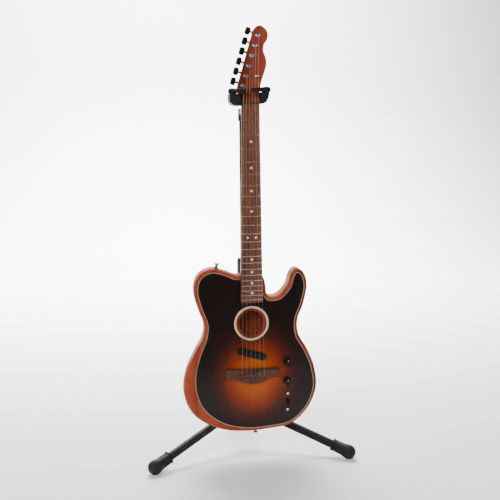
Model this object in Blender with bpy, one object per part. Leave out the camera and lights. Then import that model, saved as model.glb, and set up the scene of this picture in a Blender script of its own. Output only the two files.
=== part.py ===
"""Electro-acoustic guitar hanging on a tripod stand, in metres, +Z up.

The guitar faces -Y and hangs upright.  Its own layout is easiest in guitar co-ordinates in
millimetres: x to the right seen from the front, s downwards along the neck from the nut, and
d backwards from the fretboard's face.  at(x, s, d) turns these into world metres.
"""
import bpy
import bmesh
import numpy as np
from math import asin, cos, pi, radians, sin, sqrt
from mathutils import Matrix, Vector

MM = 0.001
GAP = 0.35                      # clearance between touching pieces

# ---------------------------------------------------------------- driving dimensions (mm)
NUT_HEIGHT = 886.0              # nut above the floor
NUT_WIDTH = 42.9
BOARD_TAPER = 0.0231            # growth of the board's width per mm of length
BOARD_END = 474.0
BOARD_THICK = 6.0
TOP_DEPTH = 8.0                 # soundboard's face behind the fretboard's face
BODY_THICK = 49.2
EDGE_ROUND_FRONT = 8.3
EDGE_ROUND_BACK = 11.6
ARM_SLOPE = 0.75                # extra depth of the arm bevel for each mm of its extra width
WALL = 7.0
BACK_THICK = 5.2
SOUNDBOARD_THICK = 3.0
BACK_DEPTH = TOP_DEPTH + BODY_THICK
NECK_THICK_NUT = 21.0
NECK_THICK_BODY = 24.0
HEEL_DEPTH = 26.6
HEAD_FACE = 12.0
HEAD_BACK = 26.0

SHAFT_X = -1.0                  # the stand's column
SHAFT_D = 127.0
LEG_REACH = 282.0               # column axis to the centre of a foot
LEG_CROSS_HEIGHT = 112.0        # where the legs' centre lines meet the column's axis
FOOT_RADIUS = 18.0
FOOT_CENTRE = 17.5              # a little under the radius, so that the foot has a flat
LOWER_TUBE_R = 11.0
LOWER_BORE_R = 7.6
MAST_R = 7.0
SOCKET_R = 9.6                  # the yoke's socket on top of the mast
CLUTCH_TOP = 503.0
BACKREST_HEIGHT = 290.0

ORIGIN_X = SHAFT_X
ORIGIN_D = SHAFT_D + LEG_REACH / 4      # the middle of the three feet, front to back


def at(x, s, d):
    """Guitar co-ordinates in mm to world metres."""
    return Vector(((x - ORIGIN_X) * MM, (d - ORIGIN_D) * MM, (NUT_HEIGHT - s) * MM))


def on_stand(x, d, height):
    """A point given by its height above the floor instead of its distance below the nut."""
    return at(x, NUT_HEIGHT - height, d)


# ---------------------------------------------------------------- finishes
FINISHES = {
    "mahogany": ((0.42, 0.12, 0.045), 0.35, 0.0),
    "top_burst": ((0.30, 0.11, 0.03), 0.25, 0.0),
    "rosewood": ((0.16, 0.07, 0.045), 0.55, 0.0),
    "cream": ((0.78, 0.66, 0.50), 0.4, 0.0),
    "bone": ((0.03, 0.03, 0.03), 0.4, 0.0),
    "black_plastic": ((0.012, 0.012, 0.013), 0.35, 0.0),
    "chrome": ((0.75, 0.75, 0.77), 0.15, 1.0),
    "string_steel": ((0.55, 0.5, 0.42), 0.3, 1.0),
    "stand_black": ((0.015, 0.015, 0.017), 0.4, 0.3),
    "stand_rubber": ((0.02, 0.02, 0.021), 0.75, 0.0),
}


def finish(name):
    """The shared Principled material of one finish."""
    if name in bpy.data.materials:
        return bpy.data.materials[name]
    colour, roughness, metallic = FINISHES[name]
    material = bpy.data.materials.new(name)
    material.use_nodes = True
    shader = material.node_tree.nodes["Principled BSDF"]
    shader.inputs["Base Color"].default_value = (*colour, 1.0)
    shader.inputs["Roughness"].default_value = roughness
    shader.inputs["Metallic"].default_value = metallic
    return material


# ---------------------------------------------------------------- modelling helpers
def new_object(name, bm):
    """Close a bmesh into an object with outward faces."""
    bmesh.ops.remove_doubles(bm, verts=bm.verts, dist=1e-6)
    bmesh.ops.recalc_face_normals(bm, faces=bm.faces)
    mesh = bpy.data.meshes.new(name)
    bm.to_mesh(mesh)
    bm.free()
    obj = bpy.data.objects.new(name, mesh)
    bpy.context.collection.objects.link(obj)
    return obj


def lofted(name, rings, capped=True):
    """Skin a row of closed rings of equal length; caps close both ends."""
    bm = bmesh.new()
    rows = [[bm.verts.new(point) for point in ring] for ring in rings]
    pairs = list(zip(rows, rows[1:]))
    if not capped:
        pairs.append((rows[-1], rows[0]))
    for low, high in pairs:
        for i in range(len(low)):
            j = (i + 1) % len(low)
            bm.faces.new((low[i], low[j], high[j], high[i]))
    if capped:
        bm.faces.new(rows[0])
        bm.faces.new(rows[-1])
    return new_object(name, bm)


def frame_of(axis):
    """Two directions across a given axis."""
    axis = axis.normalized()
    side = Vector((0, 0, 1)) if abs(axis.z) < 0.9 else Vector((1, 0, 0))
    first = axis.cross(side).normalized()
    return first, axis.cross(first).normalized()


def turned(name, base, axis, profile, sides=16, hollow=False):
    """Turn a profile of (radius, distance) in mm about an axis through base.

    A hollow profile is a closed loop round the wall, so its last point joins its first.
    """
    axis = axis.normalized()
    first, second = frame_of(axis)
    rings = []
    for radius, along in profile:
        centre = base + axis * (along * MM)
        angles = [2 * pi * i / sides for i in range(sides)]
        rings.append([centre + (first * cos(a) + second * sin(a)) * (radius * MM) for a in angles])
    return lofted(name, rings, capped=not hollow)


def prism(name, outline, d_front, d_back):
    """Extrude an outline of (x, s) from one depth to another."""
    return lofted(name, [[at(x, s, d) for x, s in outline] for d in (d_front, d_back)])


def block(name, low, high):
    """A box between two corners in guitar co-ordinates."""
    outline = [(low[0], low[1]), (high[0], low[1]), (high[0], high[1]), (low[0], high[1])]
    return prism(name, outline, low[2], high[2])


def bar(name, start, end, width, height, up=Vector((0, 0, 1)), corner=0.3):
    """A straight bar with bevelled edges between two world points."""
    along = (end - start).normalized()
    side = along.cross(up).normalized()
    over = side.cross(along).normalized()
    w, h = width / 2 * MM, height / 2 * MM
    c = min(w, h) * corner
    shape = [(w, h - c), (w - c, h), (c - w, h), (-w, h - c), (-w, c - h), (c - w, -h), (w - c, -h), (w, c - h)]
    rings = [[point + side * x + over * z for x, z in shape] for point in (start, end)]
    return lofted(name, rings)


def rod(name, points, radius, sides=8):
    """A round bar through world points, mitred at its corners."""
    rings = []
    for i, point in enumerate(points):
        before = points[max(i - 1, 0)]
        after = points[min(i + 1, len(points) - 1)]
        first, second = frame_of(after - before)
        angles = [2 * pi * k / sides for k in range(sides)]
        rings.append([point + (first * cos(a) + second * sin(a)) * (radius * MM) for a in angles])
    return lofted(name, rings)


def combine(target, tools, operation):
    """Apply a Boolean with each tool in turn and delete the tools."""
    for tool in tools:
        modifier = target.modifiers.new("combine", "BOOLEAN")
        modifier.operation = operation
        modifier.object = tool
        bpy.context.view_layer.update()
        graph = bpy.context.evaluated_depsgraph_get()
        mesh = bpy.data.meshes.new_from_object(target.evaluated_get(graph))
        target.modifiers.remove(modifier)
        target.data = mesh
        bpy.data.objects.remove(tool)
    return target


def joined(target, *tools):
    return combine(target, tools, "UNION")


def cut(target, *tools):
    return combine(target, tools, "DIFFERENCE")


def settle(obj, finish_name, pivot=None):
    """Give a piece its finish and shading, and move its origin to its joint."""
    obj.data.materials.clear()
    obj.data.materials.append(finish(finish_name))
    for polygon in obj.data.polygons:
        polygon.material_index = 0
    obj.data.shade_smooth()
    obj.data.set_sharp_from_angle(angle=radians(35))
    if pivot is not None:
        obj.data.transform(Matrix.Translation(-pivot))
        obj.location = pivot
    return obj


def smooth(points, steps, closed=True):
    """A Catmull-Rom curve through the points, with a given number of steps per span."""
    count = len(points)
    spans = count if closed else count - 1
    result = []
    for i in range(spans):
        ids = [i - 1, i, i + 1, i + 2]
        ids = [k % count for k in ids] if closed else [min(max(k, 0), count - 1) for k in ids]
        a, b, c, d = (np.array(points[k], float) for k in ids)
        for step in range(steps):
            t = step / steps
            curve = 2 * b + (c - a) * t + (2 * a - 5 * b + 4 * c - d) * t ** 2 + (3 * b - a - 3 * c + d) * t ** 3
            result.append(tuple(curve / 2))
    if not closed:
        result.append(tuple(points[-1]))
    return result


def offset(outline, distance):
    """Move a closed outline outwards by a distance along its own normals."""
    count = len(outline)
    area = sum(outline[i][0] * outline[(i + 1) % count][1] - outline[(i + 1) % count][0] * outline[i][1]
               for i in range(count))
    turn = 1 if area > 0 else -1
    moved = []
    for i, (x, y) in enumerate(outline):
        dx = outline[(i + 1) % count][0] - outline[i - 1][0]
        dy = outline[(i + 1) % count][1] - outline[i - 1][1]
        length = sqrt(dx * dx + dy * dy)
        moved.append((x + turn * dy / length * distance, y - turn * dx / length * distance))
    return moved


def board_half_width(s):
    return (NUT_WIDTH + BOARD_TAPER * s) / 2


# ---------------------------------------------------------------- guitar body
# The edge of the face, from the neck's root round the bass side to the horn and back.
FACE_OUTLINE = smooth([
    (0, 414), (-38, 415.5), (-64, 405), (-96, 397.5), (-123, 411), (-132, 443), (-122, 487),
    (-108.5, 525), (-112, 562), (-128, 602), (-140, 650), (-137.6, 700.6), (-115.2, 746.3), (-67.9, 781.2),
    (-8.3, 794.7), (50, 793), (98, 784), (136, 749), (156, 700), (151.5, 650), (134, 605), (111, 564),
    (108, 523), (122, 484), (131.5, 443), (127, 415), (114, 403.5), (104.5, 416), (97, 440),
    (74, 466), (46, 471), (31, 459), (27, 430), (20, 414.5)], 3)
# How much further the rim reaches at each of those points: the bevel under the player's forearm.
ARM_BEVEL = [max(0.0, extra) for extra, in smooth(
    [(extra,) for extra in [0] * 8 + [0.8, 5.2, 14.3, 22.3, 21.6, 10, 2] + [0] * 19], 3)]

SOUNDHOLE = (-0.7, 526.8)
SOUNDHOLE_R = 29.8
COLLAR_R = 37.5
RING_R = 43.0
KNOBS = {"volume_knob": (88.2, 628.0), "blend_knob": (88.2, 677.8)}
KNOB_R = 9.3
KNOB_HEIGHT = 15.5
SWITCH = (90.0, 732.5)
SWITCH_PIVOT_DEPTH = 22.0
POCKET_HALF_WIDTH = board_half_width(BOARD_END) + 0.5


def rim(out, share=0.0):
    """The face's outline moved outwards, with a share of the arm bevel added."""
    plain, beyond = offset(FACE_OUTLINE, out), offset(FACE_OUTLINE, out + 1)
    return [(x + (bx - x) * share * extra, s + (bs - s) * share * extra)
            for (x, s), (bx, bs), extra in zip(plain, beyond, ARM_BEVEL)]


def make_body_shell():
    """Hollow body with rounded edges, a rebate for the soundboard and a neck pocket."""
    rings = [(-WALL, BACK_DEPTH - BACK_THICK, 0, 0), (-WALL, TOP_DEPTH + SOUNDBOARD_THICK + GAP, 0, 0),
             (GAP, TOP_DEPTH + SOUNDBOARD_THICK + GAP, 0, 0), (GAP, TOP_DEPTH, 0, 0)]
    for angle in (30, 60, 90):
        a = radians(angle)
        rings.append((EDGE_ROUND_FRONT * sin(a), TOP_DEPTH + EDGE_ROUND_FRONT * (1 - cos(a)),
                      sin(a), ARM_SLOPE * (1 - cos(a))))
    for angle in (0, 30, 60, 90):
        a = radians(angle)
        rings.append((EDGE_ROUND_FRONT - EDGE_ROUND_BACK * (1 - cos(a)),
                      BACK_DEPTH - EDGE_ROUND_BACK * (1 - sin(a)), 1, 0))
    shell = lofted("body_shell", [[at(x, s, d + sink * extra) for (x, s), extra in zip(rim(out, share), ARM_BEVEL)]
                                  for out, d, share, sink in rings])
    pocket = block("pocket", (-POCKET_HALF_WIDTH, 370, 0), (POCKET_HALF_WIDTH, BOARD_END + 0.6, HEEL_DEPTH + GAP))
    return settle(cut(shell, pocket), "mahogany")


def make_soundboard():
    """Face of the body, with its soundhole, control holes and neck notch."""
    board = prism("soundboard", FACE_OUTLINE, TOP_DEPTH, TOP_DEPTH + SOUNDBOARD_THICK)
    hole = turned("hole", at(*SOUNDHOLE, 0), Vector((0, 1, 0)), [(RING_R + GAP, 0), (RING_R + GAP, 20)], 40)
    notch = block("notch", (-POCKET_HALF_WIDTH, 370, 0), (POCKET_HALF_WIDTH, BOARD_END + 0.6, 20))
    slot = block("slot", (SWITCH[0] - 2.2, SWITCH[1] - 9, 0), (SWITCH[0] + 2.2, SWITCH[1] + 9, 20))
    tools = [hole, notch, slot]
    for x, s in KNOBS.values():
        tools.append(turned("shaft_hole", at(x, s, 0), Vector((0, 1, 0)), [(4, 0), (4, 20)], 12))
    return settle(cut(board, *tools), "top_burst")


def make_soundhole():
    """Cream ring round the soundhole and the flared wooden collar inside it."""
    back = Vector((0, 1, 0))
    inner = COLLAR_R + GAP
    ring = [(inner, 7.2), (inner, 10.8), (RING_R, 10.8), (RING_R, 7.6), (RING_R - 1, 7.2)]
    collar = [(SOUNDHOLE_R + 3, 6.8), (SOUNDHOLE_R, 9.5), (SOUNDHOLE_R, 17), (SOUNDHOLE_R + 3, 17),
              (COLLAR_R, 10.8), (COLLAR_R, 7)]
    settle(turned("soundhole_ring", at(*SOUNDHOLE, 0), back, ring, 40, hollow=True), "cream")
    settle(turned("soundhole_collar", at(*SOUNDHOLE, 0), back, collar, 40, hollow=True), "mahogany")


# ---------------------------------------------------------------- neck and headstock
POST_FIRST = Vector((-16.5, -41.7))      # the bass string's tuner, nearest the nut
POST_STEP = Vector((7.14, -23.12))
TUNER_OUT = Vector((-0.958, -0.286))     # along a button's shaft, square to the head's straight edge
TUNER_ALONG = Vector((0.286, -0.958))
POST_R = 3.0


def post_place(i):
    return POST_FIRST + POST_STEP * i


def neck_section(s, half, front, back, squareness):
    """One section of the neck: flat under the board, rounded or square behind."""
    ring = [at(half, s, front)]
    shoulder = front + 2
    for k in range(11):
        a = pi * k / 10
        c, n = cos(a), sin(a)
        power = 2 / squareness
        x = half * abs(c) ** power * (1 if c >= 0 else -1)
        ring.append(at(x, s, shoulder + (back - shoulder) * abs(n) ** power))
    ring.append(at(-half, s, front))
    return ring


def make_neck():
    """Neck, heel and headstock in one piece of wood."""
    w = board_half_width
    sections = [
        (-16, 23.2, HEAD_FACE, HEAD_BACK, 6), (-8, 22.0, 9.5, 24.0, 4), (-3.9, 21.6, 6.6, 22.6, 3),
        (0, w(0), BOARD_THICK, NECK_THICK_NUT + 0.4, 2.3), (30, w(30), BOARD_THICK, NECK_THICK_NUT, 2.1),
        (200, w(200), BOARD_THICK, 22.4, 2.1), (360, w(360), BOARD_THICK, NECK_THICK_BODY, 2.2),
        (388, w(388), BOARD_THICK, 25.2, 3), (402, w(402), BOARD_THICK, HEEL_DEPTH, 8),
        (BOARD_END + 0.2, w(BOARD_END), BOARD_THICK, HEEL_DEPTH, 8)]
    neck = lofted("neck", [neck_section(s, half, front + (GAP if s >= -4 else 0), back, square)
                           for s, half, front, back, square in sections])
    bass_edge = [(-22.9, -14), (-25, -21), (-29, -29.5), (-31, -34)]
    treble_edge = smooth([(8.4, -167), (16, -177.5), (25.5, -180.5), (37, -174.5), (44, -163), (42.5, -148.5),
                          (34.5, -136), (33.5, -122), (39, -108), (40.5, -92), (35.5, -73.5), (29, -55),
                          (25, -37), (22.9, -14)], 3, closed=False)
    head = prism("head", bass_edge + treble_edge, HEAD_FACE, HEAD_BACK)
    holes = []
    for i in range(6):
        x, s = post_place(i)
        reach = [(POST_R + 0.9, 0), (POST_R + 0.9, 40)]
        holes.append(turned("post_hole", at(x, s, 0), Vector((0, 1, 0)), reach, 12))
    return settle(cut(joined(neck, head), *holes), "mahogany")


def make_fretboard():
    """Tapered playing surface, slightly rounded across, with its nut."""
    rings = []
    for s in (0, 158, 316, BOARD_END):
        half = board_half_width(s)
        across = [(-half, BOARD_THICK), (-half, 1.0), (-half * 0.55, 0.3), (0, 0), (half * 0.55, 0.3),
                  (half, 1.0), (half, BOARD_THICK)]
        rings.append([at(x, s, d) for x, d in across])
    settle(lofted("fretboard", rings), "rosewood")
    half = NUT_WIDTH / 2 - 0.3
    nut = prism("nut", [(-half, -3.6), (half, -3.6), (half, -GAP), (-half, -GAP)], -1.0, BOARD_THICK - 0.1)
    settle(nut, "bone")


# ---------------------------------------------------------------- hardware on the face
BRIDGE_OUTLINE = [(-66.8, 639.5), (66, 642.5), (66, 661.8), (46, 662.8), (37, 669), (21, 675.5), (3, 678.3),
                  (-15, 676), (-32, 671), (-42, 666.5), (-66.8, 665)]
BRIDGE_FACE = 0.2
SADDLE_BASS = (-36.0, 655.6)
SADDLE_TREBLE = (26.5, 645.6)
PICKUP = (-1.6, 603.6)
PICKUP_TILT = radians(16)


def slanted(centre, half_length, half_width, tilt, round_steps):
    """Outline with round ends, its long side tilted from the x axis."""
    points = []
    for end in (1, -1):
        for k in range(round_steps + 1):
            a = pi * k / round_steps - pi / 2
            x = end * (half_length - half_width + half_width * cos(a))
            y = end * half_width * sin(a)
            points.append((centre[0] + x * cos(tilt) - y * sin(tilt), centre[1] + x * sin(tilt) + y * cos(tilt)))
    return points


def saddle_s(x):
    """Place of the slanted saddle at a given x."""
    t = (x - SADDLE_BASS[0]) / (SADDLE_TREBLE[0] - SADDLE_BASS[0])
    return SADDLE_BASS[1] + t * (SADDLE_TREBLE[1] - SADDLE_BASS[1])


def make_bridge():
    settle(prism("bridge", BRIDGE_OUTLINE, BRIDGE_FACE, TOP_DEPTH - 0.2), "rosewood")
    lean = (SADDLE_TREBLE[1] - SADDLE_BASS[1]) / (SADDLE_TREBLE[0] - SADDLE_BASS[0])
    middle = ((SADDLE_BASS[0] + SADDLE_TREBLE[0]) / 2, (SADDLE_BASS[1] + SADDLE_TREBLE[1]) / 2)
    half = (SADDLE_TREBLE[0] - SADDLE_BASS[0]) / 2
    settle(prism("saddle", slanted(middle, half, 1.6, lean, 3), -3.0, BRIDGE_FACE - GAP), "bone")


def make_pickup():
    settle(prism("pickup", slanted(PICKUP, 38.5, 9.3, PICKUP_TILT, 6), 3.4, TOP_DEPTH - 0.3), "black_plastic")


def make_controls():
    """Two knobs on their shafts and the lever of the selector switch."""
    out = Vector((0, -1, 0))
    for name, (x, s) in KNOBS.items():
        low = TOP_DEPTH - 0.6
        profile = [(3, -6.5), (3, 0.6), (KNOB_R, 0.6), (KNOB_R - 0.3, 4), (KNOB_R - 1.2, KNOB_HEIGHT - 1),
                   (KNOB_R - 2.2, KNOB_HEIGHT)]
        settle(turned(name, at(x, s, low), out, profile, 20), "black_plastic", pivot=at(x, s, low))
    x, s = SWITCH
    pivot = at(x, s, SWITCH_PIVOT_DEPTH)
    blade = block("switch_lever", (x - 1, s - 2.5, 1), (x + 1, s + 2.5, SWITCH_PIVOT_DEPTH + 3))
    cap_profile = [(3.0, 0), (4.2, 1.5), (3.9, 9), (2.6, 10.5)]
    cap = turned("cap", at(x, s, 2), out, cap_profile, 12)
    settle(joined(blade, cap), "black_plastic", pivot=pivot)


def rim_place(x, s, depth, clear):
    """Point just clear of the body's side nearest to (x, s), and the direction outwards there."""
    side, beyond = rim(EDGE_ROUND_FRONT, 1), rim(EDGE_ROUND_FRONT + 10, 1)
    i = min(range(len(side)), key=lambda k: (side[k][0] - x) ** 2 + (side[k][1] - s) ** 2)
    outward = (at(*beyond[i], depth) - at(*side[i], depth)).normalized()
    return at(*side[i], depth) + outward * (clear * MM), outward


def make_strap_buttons():
    """Two strap buttons, on the bass shoulder and at the end of the body."""
    profile = [(4, 0), (3.6, 6.5), (7, 9), (7, 11.5), (5, 12.5)]
    for name, x, s in (("strap_button_upper", -80, 390), ("strap_button_lower", 8, 801)):
        base, axis = rim_place(x, s, 32, 0.8)
        settle(turned(name, base, axis, profile, 12), "chrome")


# ---------------------------------------------------------------- tuners and strings
def make_tuners():
    """Six sealed tuners: housing behind the head, post through it, button beside it."""
    out = (at(*TUNER_OUT, 0) - at(0, 0, 0)).normalized()
    along = (at(*TUNER_ALONG, 0) - at(0, 0, 0)).normalized()
    back = Vector((0, 1, 0))
    shaft_depth = HEAD_BACK + 5.6
    for i in range(6):
        number = i + 1
        x, s = post_place(i)
        base = at(x, s, 0)
        profile = [(2.3, 2.6), (POST_R, 3.2), (POST_R, 6), (2.3, 6.8), (2.3, 8.6), (POST_R, 9.4),
                   (POST_R, HEAD_BACK)]
        settle(turned(f"tuner_post_{number}", base, back, profile, 10), "chrome", pivot=at(x, s, HEAD_FACE))
        shape = [(-6.5, -5), (-6.5, 8), (-4, 10.5), (8, 10.5), (10.5, 8), (10.5, -5), (8, -6.5), (-4, -6.5)]
        rings = [[base + (out * u + along * v) * scale * MM + back * (depth * MM) for u, v in shape]
                 for depth, scale in ((HEAD_BACK + GAP, 1), (HEAD_BACK + 9.5, 1), (HEAD_BACK + 10.5, 0.88))]
        settle(lofted(f"tuner_housing_{number}", rings), "chrome")
        shaft_start = base + along * (6.4 * MM) + back * (shaft_depth * MM)
        centre = shaft_start + out * (23 * MM)
        rings = []
        for distance, grow in ((10.9, None), (17.6, None), (17.7, 0.75), (20.5, 1), (25.5, 1), (28.4, 0.7)):
            middle = shaft_start + out * (distance * MM)
            wide, deep = (2, 2) if grow is None else (9 * grow, 3.9 * grow)
            rings.append([middle + along * (wide * cos(a) * MM) + back * (deep * sin(a) * MM)
                          for a in (2 * pi * k / 12 for k in range(12))])
        settle(lofted(f"tuner_button_{number}", rings), "black_plastic", pivot=centre)


STRING_RADII = (0.66, 0.54, 0.44, 0.36, 0.32, 0.3)
NUT_SPACING = 7.0
BRIDGE_SPACING = 10.9
PIN_LINE = 661.5


def make_strings():
    """Six strings, bass first, from the tuner's post over nut and saddle to the bridge."""
    for i, radius in enumerate(STRING_RADII):
        lift = radius + 0.3
        post = post_place(i)
        nut_x = NUT_SPACING * (i - 2.5)
        bridge_x = 1.0 + BRIDGE_SPACING * (i - 2.5)
        over = saddle_s(bridge_x)
        points = [(post.x + 2.3 + lift, post.y, 7.7), (nut_x, -4.6, -1 - lift), (nut_x, 0.5, -1 - lift),
                  (bridge_x, over - 2, -3 - lift), (bridge_x, over + 2, -3 - lift),
                  (bridge_x, PIN_LINE - 3.4, BRIDGE_FACE - lift)]
        settle(rod(f"string_{i + 1}", [at(*p) for p in points], radius, 6), "string_steel")


# ---------------------------------------------------------------- stand
UP = Vector((0, 0, 1))
LEG_ANGLES = {"left": -60.0, "right": 60.0, "rear": 180.0}    # from straight ahead, towards +X
LEG_SLOPE = asin((LEG_CROSS_HEIGHT - FOOT_CENTRE) / sqrt((LEG_CROSS_HEIGHT - FOOT_CENTRE) ** 2 + LEG_REACH ** 2))
PIVOT_OUT = 30.0
HUB_R = 19.5
HUB_LOW = 90.0
HUB_HIGH = 126.0
BOOT_LENGTH = 46.0
YOKE_RAISE = 4.0                # the treble prong sits higher by this much


def column(height):
    return on_stand(SHAFT_X, SHAFT_D, height)


def leg_axes(side):
    """Outward direction, direction down the leg, and sideways direction of one leg."""
    a = radians(LEG_ANGLES[side])
    outward = Vector((sin(a), -cos(a), 0))
    down = outward * cos(LEG_SLOPE) - UP * sin(LEG_SLOPE)
    return outward, down, UP.cross(outward).normalized()


def leg_pivot(side):
    outward = leg_axes(side)[0]
    height = LEG_CROSS_HEIGHT - PIVOT_OUT * (LEG_CROSS_HEIGHT - FOOT_CENTRE) / LEG_REACH
    return column(height) + outward * (PIVOT_OUT * MM)


def make_hub():
    """Hub on the foot of the column with a pair of ears for each leg."""
    bore = LOWER_TUBE_R + GAP
    ring = [(bore, HUB_LOW), (bore, HUB_HIGH), (HUB_R - 3, HUB_HIGH), (HUB_R, HUB_HIGH - 4),
            (HUB_R, HUB_LOW + 2), (HUB_R - 2, HUB_LOW)]
    hub = turned("base_hub", column(0), UP, ring, 24, hollow=True)
    ears = []
    for side in LEG_ANGLES:
        outward, _, across = leg_axes(side)
        pivot = leg_pivot(side)
        for hand in (1, -1):
            middle = pivot + across * (hand * 6.5 * MM)
            ears.append(bar("ear", middle - outward * (14.5 * MM), middle + outward * (8.5 * MM), 4, 17))
    return settle(joined(hub, *ears), "stand_black")


def make_leg(side):
    """One leg: a tongue round its pivot, then an oval extrusion down to the foot."""
    _, down, across = leg_axes(side)
    pivot = leg_pivot(side)
    over = across.cross(down).normalized()
    if over.z < 0:
        over = -over
    tongue_points = [(14.5, 8.6)] + [(9.3 * cos(radians(a)), 9.3 * sin(radians(a)))
                                     for a in (90, 120, 150, 180, 210, 240, 270)] + [(14.5, -8.6)]
    rings = [[pivot + (down * u + over * v + across * w) * MM for u, v in tongue_points] for w in (-4, 4)]
    tongue = lofted(f"leg_{side}", rings)
    length = LEG_REACH / cos(LEG_SLOPE) - PIVOT_OUT / cos(LEG_SLOPE)
    beam = bar("beam", pivot + down * (14.2 * MM), pivot + down * ((length - BOOT_LENGTH) * MM), 13, 21, UP, 0.55)
    return settle(joined(tongue, beam), "stand_black", pivot=pivot)


def make_foot(side):
    """Rubber boot on a leg's end: a square collar and a round bulb with a flat underneath."""
    outward, down, _ = leg_axes(side)
    centre = column(FOOT_CENTRE) + outward * (LEG_REACH * MM)
    start = centre - down * ((BOOT_LENGTH - GAP) * MM)
    collar = bar(f"foot_{side}", start, centre, 24, 28, UP, 0.4)
    ball = [(FOOT_RADIUS * sin(a), -FOOT_RADIUS * cos(a)) for a in (radians(12 + 156 * k / 8) for k in range(9))]
    bulb = turned("bulb", centre, UP, ball, 18)
    foot = joined(collar, bulb)
    bm = bmesh.new()
    bm.from_mesh(foot.data)
    bmesh.ops.bisect_plane(bm, geom=bm.verts[:] + bm.edges[:] + bm.faces[:], plane_co=(0, 0, 0),
                           plane_no=(0, 0, -1), clear_outer=True)
    bmesh.ops.holes_fill(bm, edges=[edge for edge in bm.edges if edge.is_boundary])
    bm.to_mesh(foot.data)
    bm.free()
    return settle(foot, "stand_rubber", pivot=leg_pivot(side))


def make_column():
    """Lower tube, the mast that slides in it, the height clutch and its trigger."""
    tube = [(LOWER_BORE_R, HUB_LOW - 1), (LOWER_BORE_R, 470), (LOWER_TUBE_R, 470), (LOWER_TUBE_R, HUB_LOW - 1)]
    settle(turned("lower_tube", column(0), UP, tube, 24, hollow=True), "stand_black")
    settle(turned("mast", column(0), UP, [(MAST_R, 250), (MAST_R, NUT_HEIGHT - 14)], 20), "stand_black")
    outer, neck = LOWER_TUBE_R + GAP, LOWER_BORE_R + 0.1
    ring = [(outer, 440), (outer, 470 + GAP), (neck, 471.5), (neck, CLUTCH_TOP), (13, CLUTCH_TOP),
            (16, CLUTCH_TOP - 4), (16, 452), (14, 440)]
    clutch = turned("height_clutch", column(0), UP, ring, 20, hollow=True)
    ears = [block("ear", (SHAFT_X + low, NUT_HEIGHT - 500, SHAFT_D + 11.5),
                  (SHAFT_X + high, NUT_HEIGHT - 486, SHAFT_D + 26)) for low, high in ((-11.5, -8.2), (8.2, 11.5))]
    settle(joined(clutch, *ears), "stand_black")
    side_view = [(17.8, 500), (23.5, 501), (25, 489), (34, 452), (31, 446), (27, 448), (19, 486)]
    rings = [[on_stand(SHAFT_X + x, SHAFT_D + out, height) for out, height in side_view] for x in (-7.8, 7.8)]
    settle(lofted("clutch_trigger", rings), "stand_black", pivot=on_stand(SHAFT_X, SHAFT_D + 21, 494))


def make_backrest():
    """Bracket clamped to the lower tube, the folding bar and its two foam sleeves."""
    bore = LOWER_TUBE_R + GAP
    low, high = BACKREST_HEIGHT - 13, BACKREST_HEIGHT + 13
    ring = [(bore, low), (bore, high), (15, high), (17, high - 2), (17, low + 2), (15, low)]
    bracket = turned("backrest_bracket", column(0), UP, ring, 20, hollow=True)
    s = NUT_HEIGHT - BACKREST_HEIGHT
    hinge_d = SHAFT_D - 26
    ears = [block("ear", (SHAFT_X + a, s - 6, hinge_d - 5.5), (SHAFT_X + b, s + 6, SHAFT_D - 12.5))
            for a, b in ((-10.5, -6.4), (6.4, 10.5))]
    settle(joined(bracket, *ears), "stand_black")
    bar_d = BACK_DEPTH + 13
    arm = block("backrest_bar", (SHAFT_X - 6, s - 5, bar_d - 5), (SHAFT_X + 6, s + 5, hinge_d + 5))
    crossbar = turned("crossbar", at(SHAFT_X - 58, s, bar_d), Vector((1, 0, 0)), [(5.5, 0), (5.5, 116)], 12)
    pivot = at(SHAFT_X, s, hinge_d)
    settle(joined(arm, crossbar), "stand_black", pivot=pivot)
    sleeve = [(5.5 + GAP, 0), (5.5 + GAP, 49), (10, 49), (12, 47), (12, 2), (10, 0)]
    for name, direction in (("backrest_pad_left", -1), ("backrest_pad_right", 1)):
        base = at(SHAFT_X + direction * 7, s, bar_d)
        settle(turned(name, base, Vector((direction, 0, 0)), sleeve, 14, hollow=True), "stand_rubber", pivot=pivot)


# Pivot's x, side, raise, where the finger ends, and the prong's outline from the neck outwards.
PRONGS = {
    "left": (-43.0, -1, 0.0, -13.0, [(28.4, -23.6), (24.6, -12), (23.2, 1), (25.5, 4), (38, 3), (46, -0.5),
                                     (49.5, -6), (50, -14), (50, -23.6)]),
    "right": (37.5, 1, YOKE_RAISE, -2.0, [(24.4, -27.6), (23.2, -14), (23, -4), (25, -1), (31, -1.5), (37, -6),
                                          (41.5, -15), (43.2, -23), (43.2, -27.6)]),
}
GRIP_DEPTH = 1.0
HUMP_R = 10.5


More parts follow.
